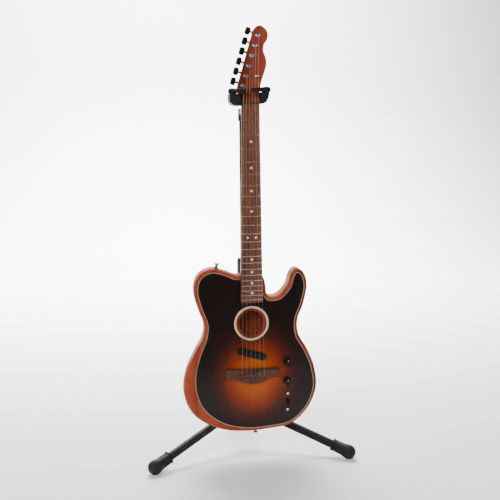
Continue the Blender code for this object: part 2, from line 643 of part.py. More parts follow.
def make_yoke():
    """Fork on top of the mast: socket, forward beam, crossbar behind the neck, two rubber prongs."""
    bore = MAST_R + 0.4
    socket = [(bore, NUT_HEIGHT - 36), (bore, NUT_HEIGHT - 13.6), (1, NUT_HEIGHT - 13.6), (1, NUT_HEIGHT - 6),
              (SOCKET_R - 2, NUT_HEIGHT - 6), (SOCKET_R, NUT_HEIGHT - 8), (SOCKET_R, NUT_HEIGHT - 36)]
    fork = turned("yoke_fork", column(0), UP, socket, 20, hollow=True)
    plug = turned("plug", column(0), UP, [(3, NUT_HEIGHT - 13.6), (3, NUT_HEIGHT - 6)], 8)
    beam = bar("beam", at(SHAFT_X, 17, SHAFT_D - 9.9), at(-2, -2, 43), 14, 14)
    crossbar = [(-46, -4), (-43, 1), (-34, 3.5), (22, 1), (30, -3), (36, -9), (39, -16), (39, -21), (36, -23),
                (31, -20), (28, -11), (-34, -10), (-38, -16), (-44, -17), (-46, -13)]
    joined(fork, plug, beam, prism("crossbar", crossbar, 35, 47))
    settle(fork, "stand_black")
    for side, (x, hand, rise, finger_end, outline) in PRONGS.items():
        settle(prism(f"yoke_pad_{side}", [(hand * u, s) for u, s in outline], -9, 35 - GAP), "stand_rubber")
        make_grip(side, x, hand, rise, finger_end)


def make_grip(side, x, hand, rise, finger_end):
    """Swinging grip: a hump on its pivot and a finger that closes in front of the neck."""
    low = -24 - rise
    hump = turned(f"grip_{side}", at(x, low, GRIP_DEPTH), UP,
                  [(HUMP_R, 0), (HUMP_R, 7), (HUMP_R - 2, 10.5), (HUMP_R - 5.5, 12.5)], 16)
    reach = [(x, 5.6, GRIP_DEPTH - 5), (x - hand * 9, 5.6, -9), (x - hand * 20, 5.6 - rise / 4, -11),
             (finger_end, 5.6 - rise / 2, -11)]
    points = [at(px, low - above, d) for px, above, d in reach]
    finger = rod("finger", points, 5.0, 10)
    settle(joined(hump, finger), "stand_rubber", pivot=at(x, low, GRIP_DEPTH))


# ---------------------------------------------------------------- build
for old in list(bpy.data.objects):
    bpy.data.objects.remove(old)

make_body_shell()
make_soundboard()
make_soundhole()
make_neck()
make_fretboard()
make_bridge()
make_pickup()
make_controls()
make_strap_buttons()
make_tuners()
make_strings()
make_hub()
for leg_side in LEG_ANGLES:
    make_leg(leg_side)
    make_foot(leg_side)
make_column()
make_backrest()
make_yoke()
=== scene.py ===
# %% [markdown]
# # An acoustic-electric guitar on its stand
#
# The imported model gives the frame: every solid is where the real part is, and each one rides on
# its moving body.  This lesson builds the visible pieces round that frame, one small step at a
# time, and gives each of them its wood, metal, lacquer or rubber.

from math import copysign, cos, pi, radians, sin, sqrt

import bpy
from mathutils import Matrix, Vector


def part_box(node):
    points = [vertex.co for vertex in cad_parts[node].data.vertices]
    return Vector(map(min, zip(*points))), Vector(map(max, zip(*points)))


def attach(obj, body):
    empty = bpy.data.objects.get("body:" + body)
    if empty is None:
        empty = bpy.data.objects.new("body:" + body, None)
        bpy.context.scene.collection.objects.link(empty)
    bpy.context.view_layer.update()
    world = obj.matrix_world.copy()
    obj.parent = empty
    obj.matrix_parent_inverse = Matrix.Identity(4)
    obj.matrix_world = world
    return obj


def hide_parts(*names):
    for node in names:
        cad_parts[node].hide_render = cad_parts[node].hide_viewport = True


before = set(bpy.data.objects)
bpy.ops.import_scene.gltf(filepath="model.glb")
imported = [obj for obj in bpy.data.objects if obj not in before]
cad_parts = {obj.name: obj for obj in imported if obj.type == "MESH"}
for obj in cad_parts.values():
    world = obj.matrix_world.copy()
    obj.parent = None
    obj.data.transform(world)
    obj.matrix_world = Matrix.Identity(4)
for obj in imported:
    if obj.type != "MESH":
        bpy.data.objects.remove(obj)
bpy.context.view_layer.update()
MM = 0.001

# %% [markdown]
# Luthiers measure a guitar from its nut.  The fretboard's own box gives three numbers, its middle,
# its face and the nut's end, and from then on a place is written as (x, s, d) in millimetres:
# x to the right seen from the front, s down from the nut, and d back from the fretboard's face.

# %% Guitar co-ordinates
board_low, board_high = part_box("fretboard")
MIDDLE_X = (board_low.x + board_high.x) / 2
FACE_Y = board_low.y
NUT_Z = board_high.z
BOARD_LENGTH = (board_high.z - board_low.z) / MM


def at(x, s, d):
    return Vector((MIDDLE_X + x * MM, FACE_Y + d * MM, NUT_Z - s * MM))


def measure(node):
    """A node's box as (x, s, d) of its low and high corner."""
    low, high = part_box(node)
    return ((low.x - MIDDLE_X) / MM, (NUT_Z - high.z) / MM, (low.y - FACE_Y) / MM,
            (high.x - MIDDLE_X) / MM, (NUT_Z - low.z) / MM, (high.y - FACE_Y) / MM)


def centre(node):
    """The middle of a node's box as (x, s)."""
    low_x, low_s, _, high_x, high_s, _ = measure(node)
    return (low_x + high_x) / 2, (low_s + high_s) / 2


SHAFT = (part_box("lower_tube")[0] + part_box("lower_tube")[1]) / 2
TOP = measure("soundboard")[2]
BACK = measure("body_shell")[5]
print(f"nut {NUT_Z:.3f} m above the floor, board {BOARD_LENGTH:.0f} mm long, body {BACK - TOP:.1f} mm thick")

# %% [markdown]
# The camera comes first.  It stands a little to the left and just below the height of the nut,
# 1.8 m away, and looks slightly down, so that the whole stand is in view.

# %% Camera
camera_data = bpy.data.cameras.new("camera")
camera_data.lens = 54.72
camera_data.sensor_width = 36
camera = bpy.data.objects.new("camera", camera_data)
bpy.context.scene.collection.objects.link(camera)
RIGHT = Vector((0.9853, -0.1706, -0.0078))
ABOVE = Vector((0.0333, 0.1467, 0.9886))
BEHIND = Vector((-0.1675, -0.9744, 0.1502))
camera_turn = Matrix((RIGHT, ABOVE, BEHIND)).transposed().to_4x4()
camera.matrix_world = Matrix.Translation(at(-310, 70, -1777)) @ camera_turn
bpy.context.scene.camera = camera
print(f"camera: {camera_data.lens:.1f} mm lens at", [round(c, 2) for c in camera.matrix_world.translation])

# %% [markdown]
# Blender's operators work on whatever is selected, so every step first deselects everything and
# then selects what it needs.  These helpers do that in one place: choose whole pieces, choose
# faces or edges by a test, add a modifier and apply it, round the sharp edges, and shade.


# %% Selection helpers
def only(*pieces):
    """Select these pieces and nothing else, the first one active."""
    bpy.ops.object.select_all(action="DESELECT")
    for piece in pieces:
        piece.select_set(True)
    bpy.context.view_layer.objects.active = pieces[0]


def edit(piece, kind="FACE", test=None):
    """Go into edit mode with everything selected, or only what passes a test."""
    only(piece)
    mesh = piece.data
    for group in (mesh.vertices, mesh.edges, mesh.polygons):
        for item in group:
            item.select = test is None
    bpy.context.tool_settings.mesh_select_mode = (kind == "VERT", kind == "EDGE", kind == "FACE")
    if test is not None:
        for item in {"VERT": mesh.vertices, "EDGE": mesh.edges, "FACE": mesh.polygons}[kind]:
            item.select = test(item)
    bpy.ops.object.mode_set(mode="EDIT")


def done():
    bpy.ops.object.mode_set(mode="OBJECT")


def corners(piece, edge):
    return [piece.data.vertices[i].co for i in edge.vertices]


def apply(piece, kind, **settings):
    """Add a modifier with its settings and apply it."""
    only(piece)
    modifier = piece.modifiers.new(kind.lower(), kind)
    for name, value in settings.items():
        setattr(modifier, name, value)
    bpy.ops.object.modifier_apply(modifier=modifier.name)
    return piece


def soften(piece, width, segments=3, angle=30):
    """Round every edge sharper than an angle."""
    return apply(piece, "BEVEL", width=width * MM, segments=segments, limit_method="ANGLE",
                 angle_limit=radians(angle), use_clamp_overlap=True)


def smooth_shade(piece, angle=35):
    only(piece)
    bpy.ops.object.shade_smooth_by_angle(angle=radians(angle))
    return piece


# %% [markdown]
# Three starting shapes serve almost every piece.  A **plate** begins as a circle whose corners are
# laid on an outline and is then extruded.  A **skin** begins as a grid that is rolled round a row
# of rings, which is how a neck or a bent bar is made.  A **turned** piece is a profile that is
# spun about its axis, as on a lathe.


# %% Plate, skin and turned pieces
def ring_plate(name, points):
    """A flat face whose corners are the given world points."""
    bpy.ops.object.select_all(action="DESELECT")
    bpy.ops.mesh.primitive_circle_add(vertices=len(points), radius=1, fill_type="NGON")
    piece = bpy.context.object
    piece.name = piece.data.name = name
    for vertex, point in zip(piece.data.vertices, points):
        vertex.co = point
    return piece


def extrude(piece, vector, test=None):
    """Extrude the chosen faces, or all of them, by a world vector."""
    edit(piece, "FACE", test)
    bpy.ops.mesh.extrude_region_move(TRANSFORM_OT_translate={"value": vector})
    done()
    return piece


def tidy(piece):
    """Merge doubles and turn the faces outwards."""
    edit(piece)
    bpy.ops.mesh.remove_doubles(threshold=0.000002)
    bpy.ops.mesh.normals_make_consistent(inside=False)
    done()
    return piece


def plate(name, outline, front, back, round_front=0.0, round_back=0.0, segments=4):
    """A plate between two depths, with its front and back edges rounded."""
    piece = ring_plate(name, [at(x, s, front) for x, s in outline])
    extrude(piece, (0, (back - front) * MM, 0))
    tidy(piece)
    for radius, depth in ((round_front, front), (round_back, back)):
        if radius > 0:
            y = at(0, 0, depth).y
            edit(piece, "EDGE", lambda e: all(abs(c.y - y) < 1e-6 for c in corners(piece, e)))
            bpy.ops.mesh.bevel(offset=radius * MM, segments=segments, profile=0.5, affect="EDGES",
                               clamp_overlap=False)
            done()
    return smooth_shade(piece)


def skin(name, rings, capped=True):
    """Roll a grid round a row of rings, which are lists of world points of one length."""
    columns, rows = len(rings[0]), len(rings) - 1
    bpy.ops.object.select_all(action="DESELECT")
    bpy.ops.mesh.primitive_grid_add(x_subdivisions=columns, y_subdivisions=rows, size=2)
    piece = bpy.context.object
    piece.name = piece.data.name = name
    for vertex in piece.data.vertices:
        column = round((vertex.co.x + 1) / 2 * columns) % columns
        row = round((vertex.co.y + 1) / 2 * rows)
        vertex.co = rings[row][column]
    edit(piece)
    bpy.ops.mesh.remove_doubles(threshold=0.000002)
    if capped:
        bpy.ops.mesh.fill_holes(sides=0)
    bpy.ops.mesh.normals_make_consistent(inside=False)
    done()
    return smooth_shade(piece)


def across(axis):
    """Two directions square to an axis."""
    axis = Vector(axis).normalized()
    side = Vector((0, 0, 1)) if abs(axis.z) < 0.9 else Vector((1, 0, 0))
    first = axis.cross(side).normalized()
    return first, axis.cross(first).normalized()


def turned(name, base, axis, profile, steps=48, hollow=False):
    """Spin a profile of (radius, distance) in millimetres about an axis through base."""
    axis = Vector(axis).normalized()
    first = across(axis)[0]
    piece = ring_plate(name, [base + axis * (h * MM) + first * (r * MM) for r, h in profile])
    edit(piece, "FACE")
    bpy.ops.mesh.delete(type="ONLY_FACE")
    done()
    if not hollow:
        last = len(profile) - 1
        edit(piece, "EDGE", lambda e: set(e.vertices) == {0, last})
        bpy.ops.mesh.delete(type="EDGE")
        done()
    edit(piece, "EDGE")
    bpy.ops.mesh.spin(steps=steps, angle=2 * pi, center=base, axis=axis)
    done()
    return smooth_shade(tidy(piece))


def rounded_profile(profile, radius, steps=3):
    """A turned profile with its inner corners replaced by small arcs."""
    result = [profile[0]]
    for before, corner, after in zip(profile, profile[1:], profile[2:]):
        a, b, c = Vector(before), Vector(corner), Vector(after)
        reach = min(radius, (a - b).length * 0.45, (c - b).length * 0.45)
        start, end = b + (a - b).normalized() * reach, b + (c - b).normalized() * reach
        for k in range(steps + 1):
            t = k / steps
            result.append(tuple(start * (1 - t) ** 2 + b * 2 * t * (1 - t) + end * t ** 2))
    return result + [profile[-1]]


def tube(name, points, radius, sides=12):
    """A round bar or wire through world points, with its frame carried along."""
    rings = []
    normal = across(points[1] - points[0])[0]
    for i, point in enumerate(points):
        ahead = (points[min(i + 1, len(points) - 1)] - points[max(i - 1, 0)]).normalized()
        normal = (normal - ahead * normal.dot(ahead)).normalized()
        side = ahead.cross(normal)
        size = radius(i / (len(points) - 1)) if callable(radius) else radius
        angles = [2 * pi * k / sides for k in range(sides)]
        rings.append([point + (normal * cos(a) + side * sin(a)) * (size * MM) for a in angles])
    return skin(name, rings)


def superellipse(a, square):
    """A point on a unit ring at an angle: 2 is round and 8 is nearly a box."""
    power = 2 / square
    return copysign(abs(cos(a)) ** power, cos(a)), copysign(abs(sin(a)) ** power, sin(a))


def join(name, pieces):
    """Join several meshes into one piece."""
    only(*pieces)
    if len(pieces) > 1:
        bpy.ops.object.join()
    pieces[0].name = pieces[0].data.name = name
    return pieces[0]


def unite(piece, *others, operation="UNION"):
    """Boolean the others into a piece with the Manifold solver, and remove them."""
    for other in others:
        apply(piece, "BOOLEAN", solver="MANIFOLD", operation=operation, object=other)
        bpy.data.objects.remove(other)
    return piece


def curve_through(points, steps, closed=True):
    """Catmull-Rom points through a few chosen ones."""
    count = len(points)
    result = []
    for i in range(count if closed else count - 1):
        ids = [i - 1, i, i + 1, i + 2]
        ids = [k % count for k in ids] if closed else [min(max(k, 0), count - 1) for k in ids]
        a, b, c, d = (Vector(points[k]) for k in ids)
        for step in range(steps):
            t = step / steps
            result.append((2 * b + (c - a) * t + (2 * a - 5 * b + 4 * c - d) * t * t
                           + (3 * b - a - 3 * c + d) * t ** 3) / 2)
    if not closed:
        result.append(Vector(points[-1]))
    return result


def offset(outline, distance):
    """Move a closed outline outwards along its normals."""
    following = outline[1:] + outline[:1]
    area = sum(here[0] * after[1] - after[0] * here[1] for here, after in zip(outline, following))
    turn = distance if area > 0 else -distance
    moved = []
    for i, point in enumerate(outline):
        dx = following[i][0] - outline[i - 1][0]
        dy = following[i][1] - outline[i - 1][1]
        length = sqrt(dx * dx + dy * dy)
        moved.append((point[0] + turn * dy / length, point[1] - turn * dx / length))
    return moved


def finish_piece(piece, material, body, slot, *nodes):
    """Material, body and the CAD nodes that a piece stands for; the slot argument is not used."""
    piece.data.materials.clear()
    piece.data.materials.append(material)
    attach(piece, body)
    if nodes:
        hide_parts(*nodes)
    print(f"{piece.name}: {len(piece.data.polygons)} faces on {body}")
    return piece


# %% [markdown]
# Materials are small node graphs.  Each starts from the Principled shader, reads Object
# co-ordinates in metres, and adds the colour change, roughness and bump that the real finish has.


# %% Material helpers
def new_material(name, colour, roughness, metallic=0.0, **sockets):
    material = bpy.data.materials.new(name)
    material.use_nodes = True
    shader = material.node_tree.nodes["Principled BSDF"]
    shader.inputs["Base Color"].default_value = (*colour, 1)
    shader.inputs["Roughness"].default_value = roughness
    shader.inputs["Metallic"].default_value = metallic
    for socket, value in sockets.items():
        shader.inputs[socket.replace("_", " ")].default_value = value
    return material, material.node_tree, shader


def node(tree, kind, **settings):
    made = tree.nodes.new("ShaderNode" + kind)
    for name, value in settings.items():
        if name in made.inputs:
            made.inputs[name].default_value = value
        else:
            setattr(made, name, value)
    return made


def placed(tree, scale=(1, 1, 1), location=(0, 0, 0), rotation=(0, 0, 0)):
    """Object co-ordinates through a Mapping node."""
    mapping = node(tree, "Mapping", Scale=scale, Location=location, Rotation=rotation)
    tree.links.new(node(tree, "TexCoord").outputs["Object"], mapping.inputs["Vector"])
    return mapping.outputs["Vector"]


def noise(tree, vector, scale, detail=3.0, roughness=0.55, distortion=0.0):
    made = node(tree, "TexNoise", Scale=scale, Detail=detail, Roughness=roughness, Distortion=distortion)
    tree.links.new(vector, made.inputs["Vector"])
    return made.outputs["Fac"]


def ramp(tree, value, stops):
    made = node(tree, "ValToRGB")
    elements = made.color_ramp.elements
    elements.remove(elements[1])
    elements[0].position, elements[0].color = stops[0][0], (*stops[0][1], 1)
    for position, colour in stops[1:]:
        elements.new(position).color = (*colour, 1)
    tree.links.new(value, made.inputs["Fac"])
    return made.outputs["Color"]


def mixed(tree, factor, first, second, blend="MIX"):
    made = node(tree, "Mix", data_type="RGBA", blend_type=blend)
    for socket, value in (("Factor", factor), ("A", first), ("B", second)):
        target = next(i for i in made.inputs if i.name == socket and i.enabled)
        if isinstance(value, (int, float)):
            target.default_value = value
        elif isinstance(value, tuple):
            target.default_value = (*value, 1)
        else:
            tree.links.new(value, target)
    return next(o for o in made.outputs if o.enabled)


def scaled(tree, value, low, high):
    """Map 0..1 to a range."""
    made = node(tree, "MapRange")
    made.inputs["To Min"].default_value = low
    made.inputs["To Max"].default_value = high
    tree.links.new(value, made.inputs["Value"])
    return made.outputs["Result"]


def bumped(tree, shader, height, strength, distance):
    made = node(tree, "Bump", Strength=strength, Distance=distance)
    tree.links.new(height, made.inputs["Height"])
    tree.links.new(made.outputs["Normal"], shader.inputs["Normal"])


def linear(red, green, blue):
    """A display colour of 0..255 as linear light."""
    def one(value):
        value /= 255
        return value / 12.92 if value <= 0.04045 else ((value + 0.055) / 1.055) ** 2.4
    return (one(red), one(green), one(blue))


# %% [markdown]
# Mahogany has long straight grain with short dark pores, and here a thin satin open-pore finish
# over an orange-red stain.  The grain runs along Z, so the noise is drawn out along Z and lies
# close across it; a second, finer noise gives the pores, which are also slightly sunk.


# %% Mahogany
def mahogany(name, light, dark, pore_depth=0.00004):
    material, tree, shader = new_material(name, light, 0.42, Specular_IOR_Level=0.03)
    broad = noise(tree, placed(tree, (30, 30, 1.8)), 1.0, 4, 0.5, 0.4)
    fine = noise(tree, placed(tree, (900, 900, 34)), 1.0, 3, 0.6)
    colour = ramp(tree, broad, [(0.30, dark), (0.52, light), (0.72, tuple(c * 1.15 for c in light))])
    pores = ramp(tree, fine, [(0.34, (0.45, 0.4, 0.4)), (0.46, (1, 1, 1))])
    tree.links.new(mixed(tree, 0.8, colour, pores, "MULTIPLY"), shader.inputs["Base Color"])
    tree.links.new(scaled(tree, fine, 0.52, 0.36), shader.inputs["Roughness"])
    bumped(tree, shader, pores, 0.2, pore_depth)
    return material


MAHOGANY = mahogany("body_mahogany", linear(146, 67, 43), linear(108, 43, 29))
# The collar's mahogany is darker than the body's: painted shade for the collar sunk inside the soundhole.
SHADED_COLLAR_MAHOGANY = mahogany("collar_mahogany_painted_shade", linear(118, 50, 36), linear(86, 33, 24))
NECK_MAHOGANY = mahogany("neck_mahogany", linear(138, 62, 43), linear(100, 40, 29))

# %% [markdown]
# The face is close-grained spruce under a sunburst: the lacquer is sprayed from amber in the
# middle of the lower bout, through red-brown, to nearly black at the edge.  An ellipse round that
# middle drives the colour ramp, with a little noise so that the sprayed edge isn't a ruled line,
# and the spruce's fine lines show only where the finish is light.

# %% Sunburst
BURST_WIDE = 0.130
BURST_HIGH = 0.153


def sunburst():
    material, tree, shader = new_material("sunburst_lacquer", linear(60, 30, 26), 0.3,
                                          Specular_IOR_Level=0.22, Coat_Weight=0.06, Coat_Roughness=0.12)
    middle = at(8, 660, 0)
    vector = placed(tree, (1 / BURST_WIDE, 0.0, 1 / BURST_HIGH),
                    (-middle.x / BURST_WIDE, 0, -middle.z / BURST_HIGH))
    length = node(tree, "VectorMath", operation="LENGTH")
    tree.links.new(vector, length.inputs[0])
    cloud = noise(tree, placed(tree), 14, 3)
    wobble = node(tree, "Math", operation="MULTIPLY_ADD")
    tree.links.new(cloud, wobble.inputs[0])
    wobble.inputs[1].default_value = 0.10
    tree.links.new(length.outputs["Value"], wobble.inputs[2])
    spread = node(tree, "Math", operation="SUBTRACT")
    tree.links.new(wobble.outputs[0], spread.inputs[0])
    spread.inputs[1].default_value = 0.05
    burst = ramp(tree, spread.outputs[0], [
        (0.0, linear(166, 80, 4)), (0.26, linear(158, 70, 3)), (0.48, linear(120, 42, 5)),
        (0.66, linear(66, 22, 9)), (0.82, linear(38, 15, 11)), (1.0, linear(24, 14, 13))])
    grain = noise(tree, placed(tree, (900, 900, 5)), 1.0, 2, 0.5)
    lines = ramp(tree, grain, [(0.35, (0.70, 0.66, 0.6)), (0.6, (1, 1, 1))])
    tree.links.new(mixed(tree, 0.55, burst, lines, "MULTIPLY"), shader.inputs["Base Color"])
    tree.links.new(scaled(tree, grain, 0.34, 0.26), shader.inputs["Roughness"])
    bumped(tree, shader, grain, 0.08, 0.00003)
    return material


SUNBURST = sunburst()

# %% [markdown]
# Rosewood is brown with darker streaks and open pores.  The fretboard is oiled, not lacquered, so
# it is duller than the body.


# %% Rosewood
def rosewood(name, light, dark, stretch=(70, 70, 3)):
    material, tree, shader = new_material(name, light, 0.5, Specular_IOR_Level=0.3)
    streaks = noise(tree, placed(tree, stretch), 1.0, 5, 0.62, 0.8)
    pores = noise(tree, placed(tree, tuple(9 * s for s in stretch)), 1.0, 2, 0.6)
    colour = ramp(tree, streaks, [(0.32, dark), (0.5, light), (0.68, tuple(c * 1.3 for c in light))])
    speck = ramp(tree, pores, [(0.35, (0.35, 0.3, 0.3)), (0.48, (1, 1, 1))])
    tree.links.new(mixed(tree, 0.9, colour, speck, "MULTIPLY"), shader.inputs["Base Color"])
    tree.links.new(scaled(tree, pores, 0.62, 0.42), shader.inputs["Roughness"])
    bumped(tree, shader, pores, 0.3, 0.00005)
    return material


BOARD_WOOD = rosewood("fretboard_rosewood", linear(108, 62, 46), linear(66, 36, 26))
BRIDGE_WOOD = rosewood("bridge_rosewood", linear(76, 40, 28), linear(42, 22, 16), (4, 70, 70))

# %% [markdown]
# Plain finishes still vary: chrome has faint wipe marks, moulded plastic an orange-peel skin,
# powder coat a fine grain, and rubber and foam a rough, mottled skin.


# %% Metals, plastics and rubber
def plain(name, colour, roughness, metallic=0.0, change=0.08, scale=60, bump=0.05, depth=0.0001, **sockets):
    """A one-colour finish with mottled colour and roughness and a fine bump."""
    material, tree, shader = new_material(name, colour, roughness, metallic, **sockets)
    cloud = noise(tree, placed(tree), scale, 4, 0.6)
    fine = noise(tree, placed(tree), scale * 22, 2)
    darker = tuple(c * (1 - change * 2) for c in colour)
    lighter = tuple(min(1, c * (1 + change)) for c in colour)
    tree.links.new(ramp(tree, cloud, [(0.3, darker), (0.7, lighter)]), shader.inputs["Base Color"])
    tree.links.new(scaled(tree, cloud, roughness * 1.25, roughness * 0.8), shader.inputs["Roughness"])
    bumped(tree, shader, fine, bump, depth)
    return material


CHROME = plain("polished_chrome", (0.72, 0.72, 0.74), 0.14, 1.0, 0.04, 40, 0.02)
NICKEL = plain("fret_nickel", (0.62, 0.60, 0.57), 0.25, 1.0, 0.06, 120, 0.04)
CREAM = plain("cream_binding", linear(206, 184, 150), 0.4, 0, 0.04, 50, 0.03, Coat_Weight=0.3)
PURFLING = plain("purfling_strip", linear(150, 142, 118), 0.45, 0, 0.06, 90, 0.03)
NUT_BLACK = plain("black_graphite", (0.010, 0.010, 0.010), 0.42, 0, 0.1, 160, 0.04)
PEARL = plain("pearl_dot", linear(236, 226, 205), 0.25, 0, 0.06, 260, 0.02, Coat_Weight=0.6)
BLACK_PLASTIC = plain("black_moulded_plastic", (0.006, 0.006, 0.006), 0.3, 0, 0.1, 70, 0.04,
                      Specular_IOR_Level=0.25)
KNOB_BLACK = plain("knob_black", (0.005, 0.005, 0.005), 0.3, 0, 0.1, 110, 0.05, Specular_IOR_Level=0.25)
POWDER_COAT = plain("stand_powder_coat", (0.006, 0.006, 0.007), 0.36, 0.0, 0.12, 90, 0.18, 0.00008,
                    Specular_IOR_Level=0.2)
TUBE_BLACK = plain("stand_tube_black", (0.006, 0.006, 0.007), 0.25, 0.0, 0.1, 60, 0.05, Specular_IOR_Level=0.3)
RUBBER = plain("stand_rubber", (0.008, 0.008, 0.009), 0.6, 0, 0.18, 80, 0.3, 0.0002, Specular_IOR_Level=0.2)
FOAM = plain("stand_foam", (0.010, 0.010, 0.011), 0.85, 0, 0.2, 60, 0.7, 0.0006, Specular_IOR_Level=0.25)
print("materials:", len(bpy.data.materials))

# %% [markdown]
# The body is routed from mahogany.  Its face follows one drawn outline, and the rounded rim stands
# outside it.  On the lower bass side the rim grows into a wide bevel, where the player's forearm
# lies.  So each outline point has three numbers: x, s, and how much wider the rim is there.

# %% Body outline
OUTLINE = curve_through([Vector(p) for p in [
    (0, 414, 0), (-38, 415.5, 0), (-64, 405, 0), (-96, 397.5, 0), (-123, 411, 0), (-132, 443, 0),
    (-122, 487, 0), (-108.5, 525, 0), (-112, 562, 0.8), (-128, 602, 5.2), (-140, 650, 14.3),
    (-137.6, 700.6, 22.3), (-115.2, 746.3, 21.6), (-67.9, 781.2, 10), (-8.3, 794.7, 2), (50, 793, 0),
    (98, 784, 0), (136, 749, 0), (156, 700, 0), (151.5, 650, 0), (134, 605, 0), (111, 564, 0),
    (108, 523, 0), (122, 484, 0), (131.5, 443, 0), (127, 415, 0), (114, 403.5, 0), (104.5, 416, 0),
    (97, 440, 0), (74, 466, 0), (46, 471, 0), (31, 459, 0), (27, 430, 0), (20, 414.5, 0)]], 8)
FACE_OUTLINE = [(p.x, p.y) for p in OUTLINE]
ARM_BEVEL = [max(0.0, p.z) for p in OUTLINE]
ARM_SLOPE = 0.75
EDGE_FRONT = 8.3
EDGE_BACK = 11.6
POCKET_HALF = 27.5
HEEL_DEPTH = measure("neck")[5]


def rectangle(low_x, low_s, high_x, high_s):
    return [(low_x, low_s), (high_x, low_s), (high_x, high_s), (low_x, high_s)]


NOTCH = rectangle(-POCKET_HALF, 370, POCKET_HALF, BOARD_LENGTH + 0.6)


def rim(out, share=0.0):
    """The face's outline moved outwards, with a share of the arm bevel added."""
    plain_rim, beyond = offset(FACE_OUTLINE, out), offset(FACE_OUTLINE, out + 1)
    return [(x + (bx - x) * share * extra, s + (bs - s) * share * extra)
            for (x, s), (bx, bs), extra in zip(plain_rim, beyond, ARM_BEVEL)]


def rim_ring(out, depth, share, sink):
    """The rim at a depth as world points, sunk further back where the arm bevel is wide."""
    return [at(x, s, depth + sink * extra) for (x, s), extra in zip(rim(out, share), ARM_BEVEL)]


print(f"body outline: {len(FACE_OUTLINE)} points, arm bevel up to {max(ARM_BEVEL):.1f} mm wide")

# %% [markdown]
# The rim is a quarter round at the front and a larger one at the back, so the body is a skin over
# two sets of rings.  Three cutters then hollow it: a rebate for the soundboard, the sound chamber,
# and the pocket that takes the neck's heel.

# %% Body shell
FRONT_STEPS = 9
BACK_STEPS = 8
REBATE_DEPTH = 3.4
WALL = 7.0
BACK_THICKNESS = 5.2
shell_rings = [rim_ring(0, TOP, 0, 0)]
for k in range(1, FRONT_STEPS + 1):
    a = pi / 2 * k / FRONT_STEPS
    depth = TOP + EDGE_FRONT * (1 - cos(a))
    shell_rings.append(rim_ring(EDGE_FRONT * sin(a), depth, sin(a), ARM_SLOPE * (1 - cos(a))))
for k in range(BACK_STEPS + 1):
    a = pi / 2 * k / BACK_STEPS
    depth = BACK - EDGE_BACK * (1 - sin(a))
    shell_rings.append(rim_ring(EDGE_FRONT - EDGE_BACK * (1 - cos(a)), depth, 1, 0))
shell = skin("body", shell_rings)
unite(shell,
      plate("rebate", rim(-0.1), TOP - 2, TOP + REBATE_DEPTH),
      plate("hollow", rim(-WALL), TOP, BACK - BACK_THICKNESS),
      plate("pocket", NOTCH, 0, HEEL_DEPTH + 0.3),
      operation="DIFFERENCE")
smooth_shade(shell, 30)
finish_piece(shell, MAHOGANY, "guitar", "mahogany", "body_shell")

# %% [markdown]
# A thin pale strip of purfling lies between the rounded wood and the sprayed face.  It is a plate
# with a slightly smaller plate cut out of it, and the soundboard then fits inside that.

# %% Purfling and soundboard
HOLE_X, HOLE_S = centre("soundhole_ring")
BACKWARDS = Vector((0, 1, 0))
FORWARDS = Vector((0, -1, 0))
purfling = plate("purfling", offset(FACE_OUTLINE, -0.2), TOP - 0.05, TOP + 1.6)
unite(purfling, plate("inside", offset(FACE_OUTLINE, -1.7), 0, 20), plate("notch", NOTCH, 0, 20),
      operation="DIFFERENCE")
finish_piece(purfling, PURFLING, "guitar", "cream")

soundboard = plate("face", offset(FACE_OUTLINE, -1.75), TOP, TOP + 3)
KNOB_PLACES = {name: centre(name) for name in ("volume_knob", "blend_knob")}
SWITCH_X, SWITCH_S = centre("switch_lever")
cutters = [turned("hole", at(HOLE_X, HOLE_S, 0), BACKWARDS, [(0, 0), (43.2, 0), (43.2, 20), (0, 20)], 96),
           plate("notch", NOTCH, 0, 20),
           plate("slot", rectangle(SWITCH_X - 2, SWITCH_S - 9, SWITCH_X + 2, SWITCH_S + 9), 0, 20)]
cutters += [turned("shaft_hole", at(x, s, 0), BACKWARDS, [(0, 0), (4, 0), (4, 20), (0, 20)], 24)
            for x, s in KNOB_PLACES.values()]
unite(soundboard, *cutters, operation="DIFFERENCE")
smooth_shade(soundboard, 30)
finish_piece(soundboard, SUNBURST, "guitar", "top_burst", "soundboard")

# %% [markdown]
# Round the soundhole lie a cream ring and, inside it, a dished mahogany collar that leads down
# into the body; its mahogany is darker than the body's, as painted shade for that recess.  Both
# are turned from a profile, like rings on a lathe.

# %% Soundhole ring and collar
ring = turned("ring", at(HOLE_X, HOLE_S, 0), BACKWARDS,
              [(37.9, 10.8), (37.9, 7.7), (38.5, 7.15), (42.3, 7.15), (43.0, 7.8), (43.0, 10.8)],
              96, hollow=True)
finish_piece(ring, CREAM, "guitar", "cream", "soundhole_ring")
collar = turned("collar", at(HOLE_X, HOLE_S, 0), BACKWARDS,
                [(37.6, 10.8), (37.6, 7.8), (36.8, 7.3), (35, 7.5), (33, 8.4), (31, 10.2), (29.9, 12.6),
                 (29.9, 17), (32.5, 17), (34, 12)], 96, hollow=True)
finish_piece(collar, SHADED_COLLAR_MAHOGANY, "guitar", "mahogany", "soundhole_collar")

# %% [markdown]
# The neck is one piece of mahogany.  Its back is a rounded C, made by rolling a grid round a row of
# sections, and it squares off into the heel that sits in the body's pocket.  Each section is flat
# in front, where the fretboard is glued on.


# %% Neck sections
def half_width(s):
    return 21.45 + 0.01155 * s


def section(s, half, front, back, square):
    """Flat in front, and a superellipse behind."""
    points = [at(half, s, front)]
    shoulder = front + 2
    for k in range(25):
        x, depth = superellipse(pi * k / 24, square)
        points.append(at(half * x, s, shoulder + (back - shoulder) * depth))
    return points + [at(-half, s, front)]


def between(stations, steps):
    """Smooth rows between a few given ones, by a cosine ease."""
    rows = []
    for low, high in zip(stations, stations[1:]):
        for k in range(steps):
            t = k / steps
            ease = (1 - cos(pi * t)) / 2
            rows.append([low[0] + (high[0] - low[0]) * t]
                        + [a + (b - a) * ease for a, b in zip(low[1:], high[1:])])
    return rows + [list(stations[-1])]


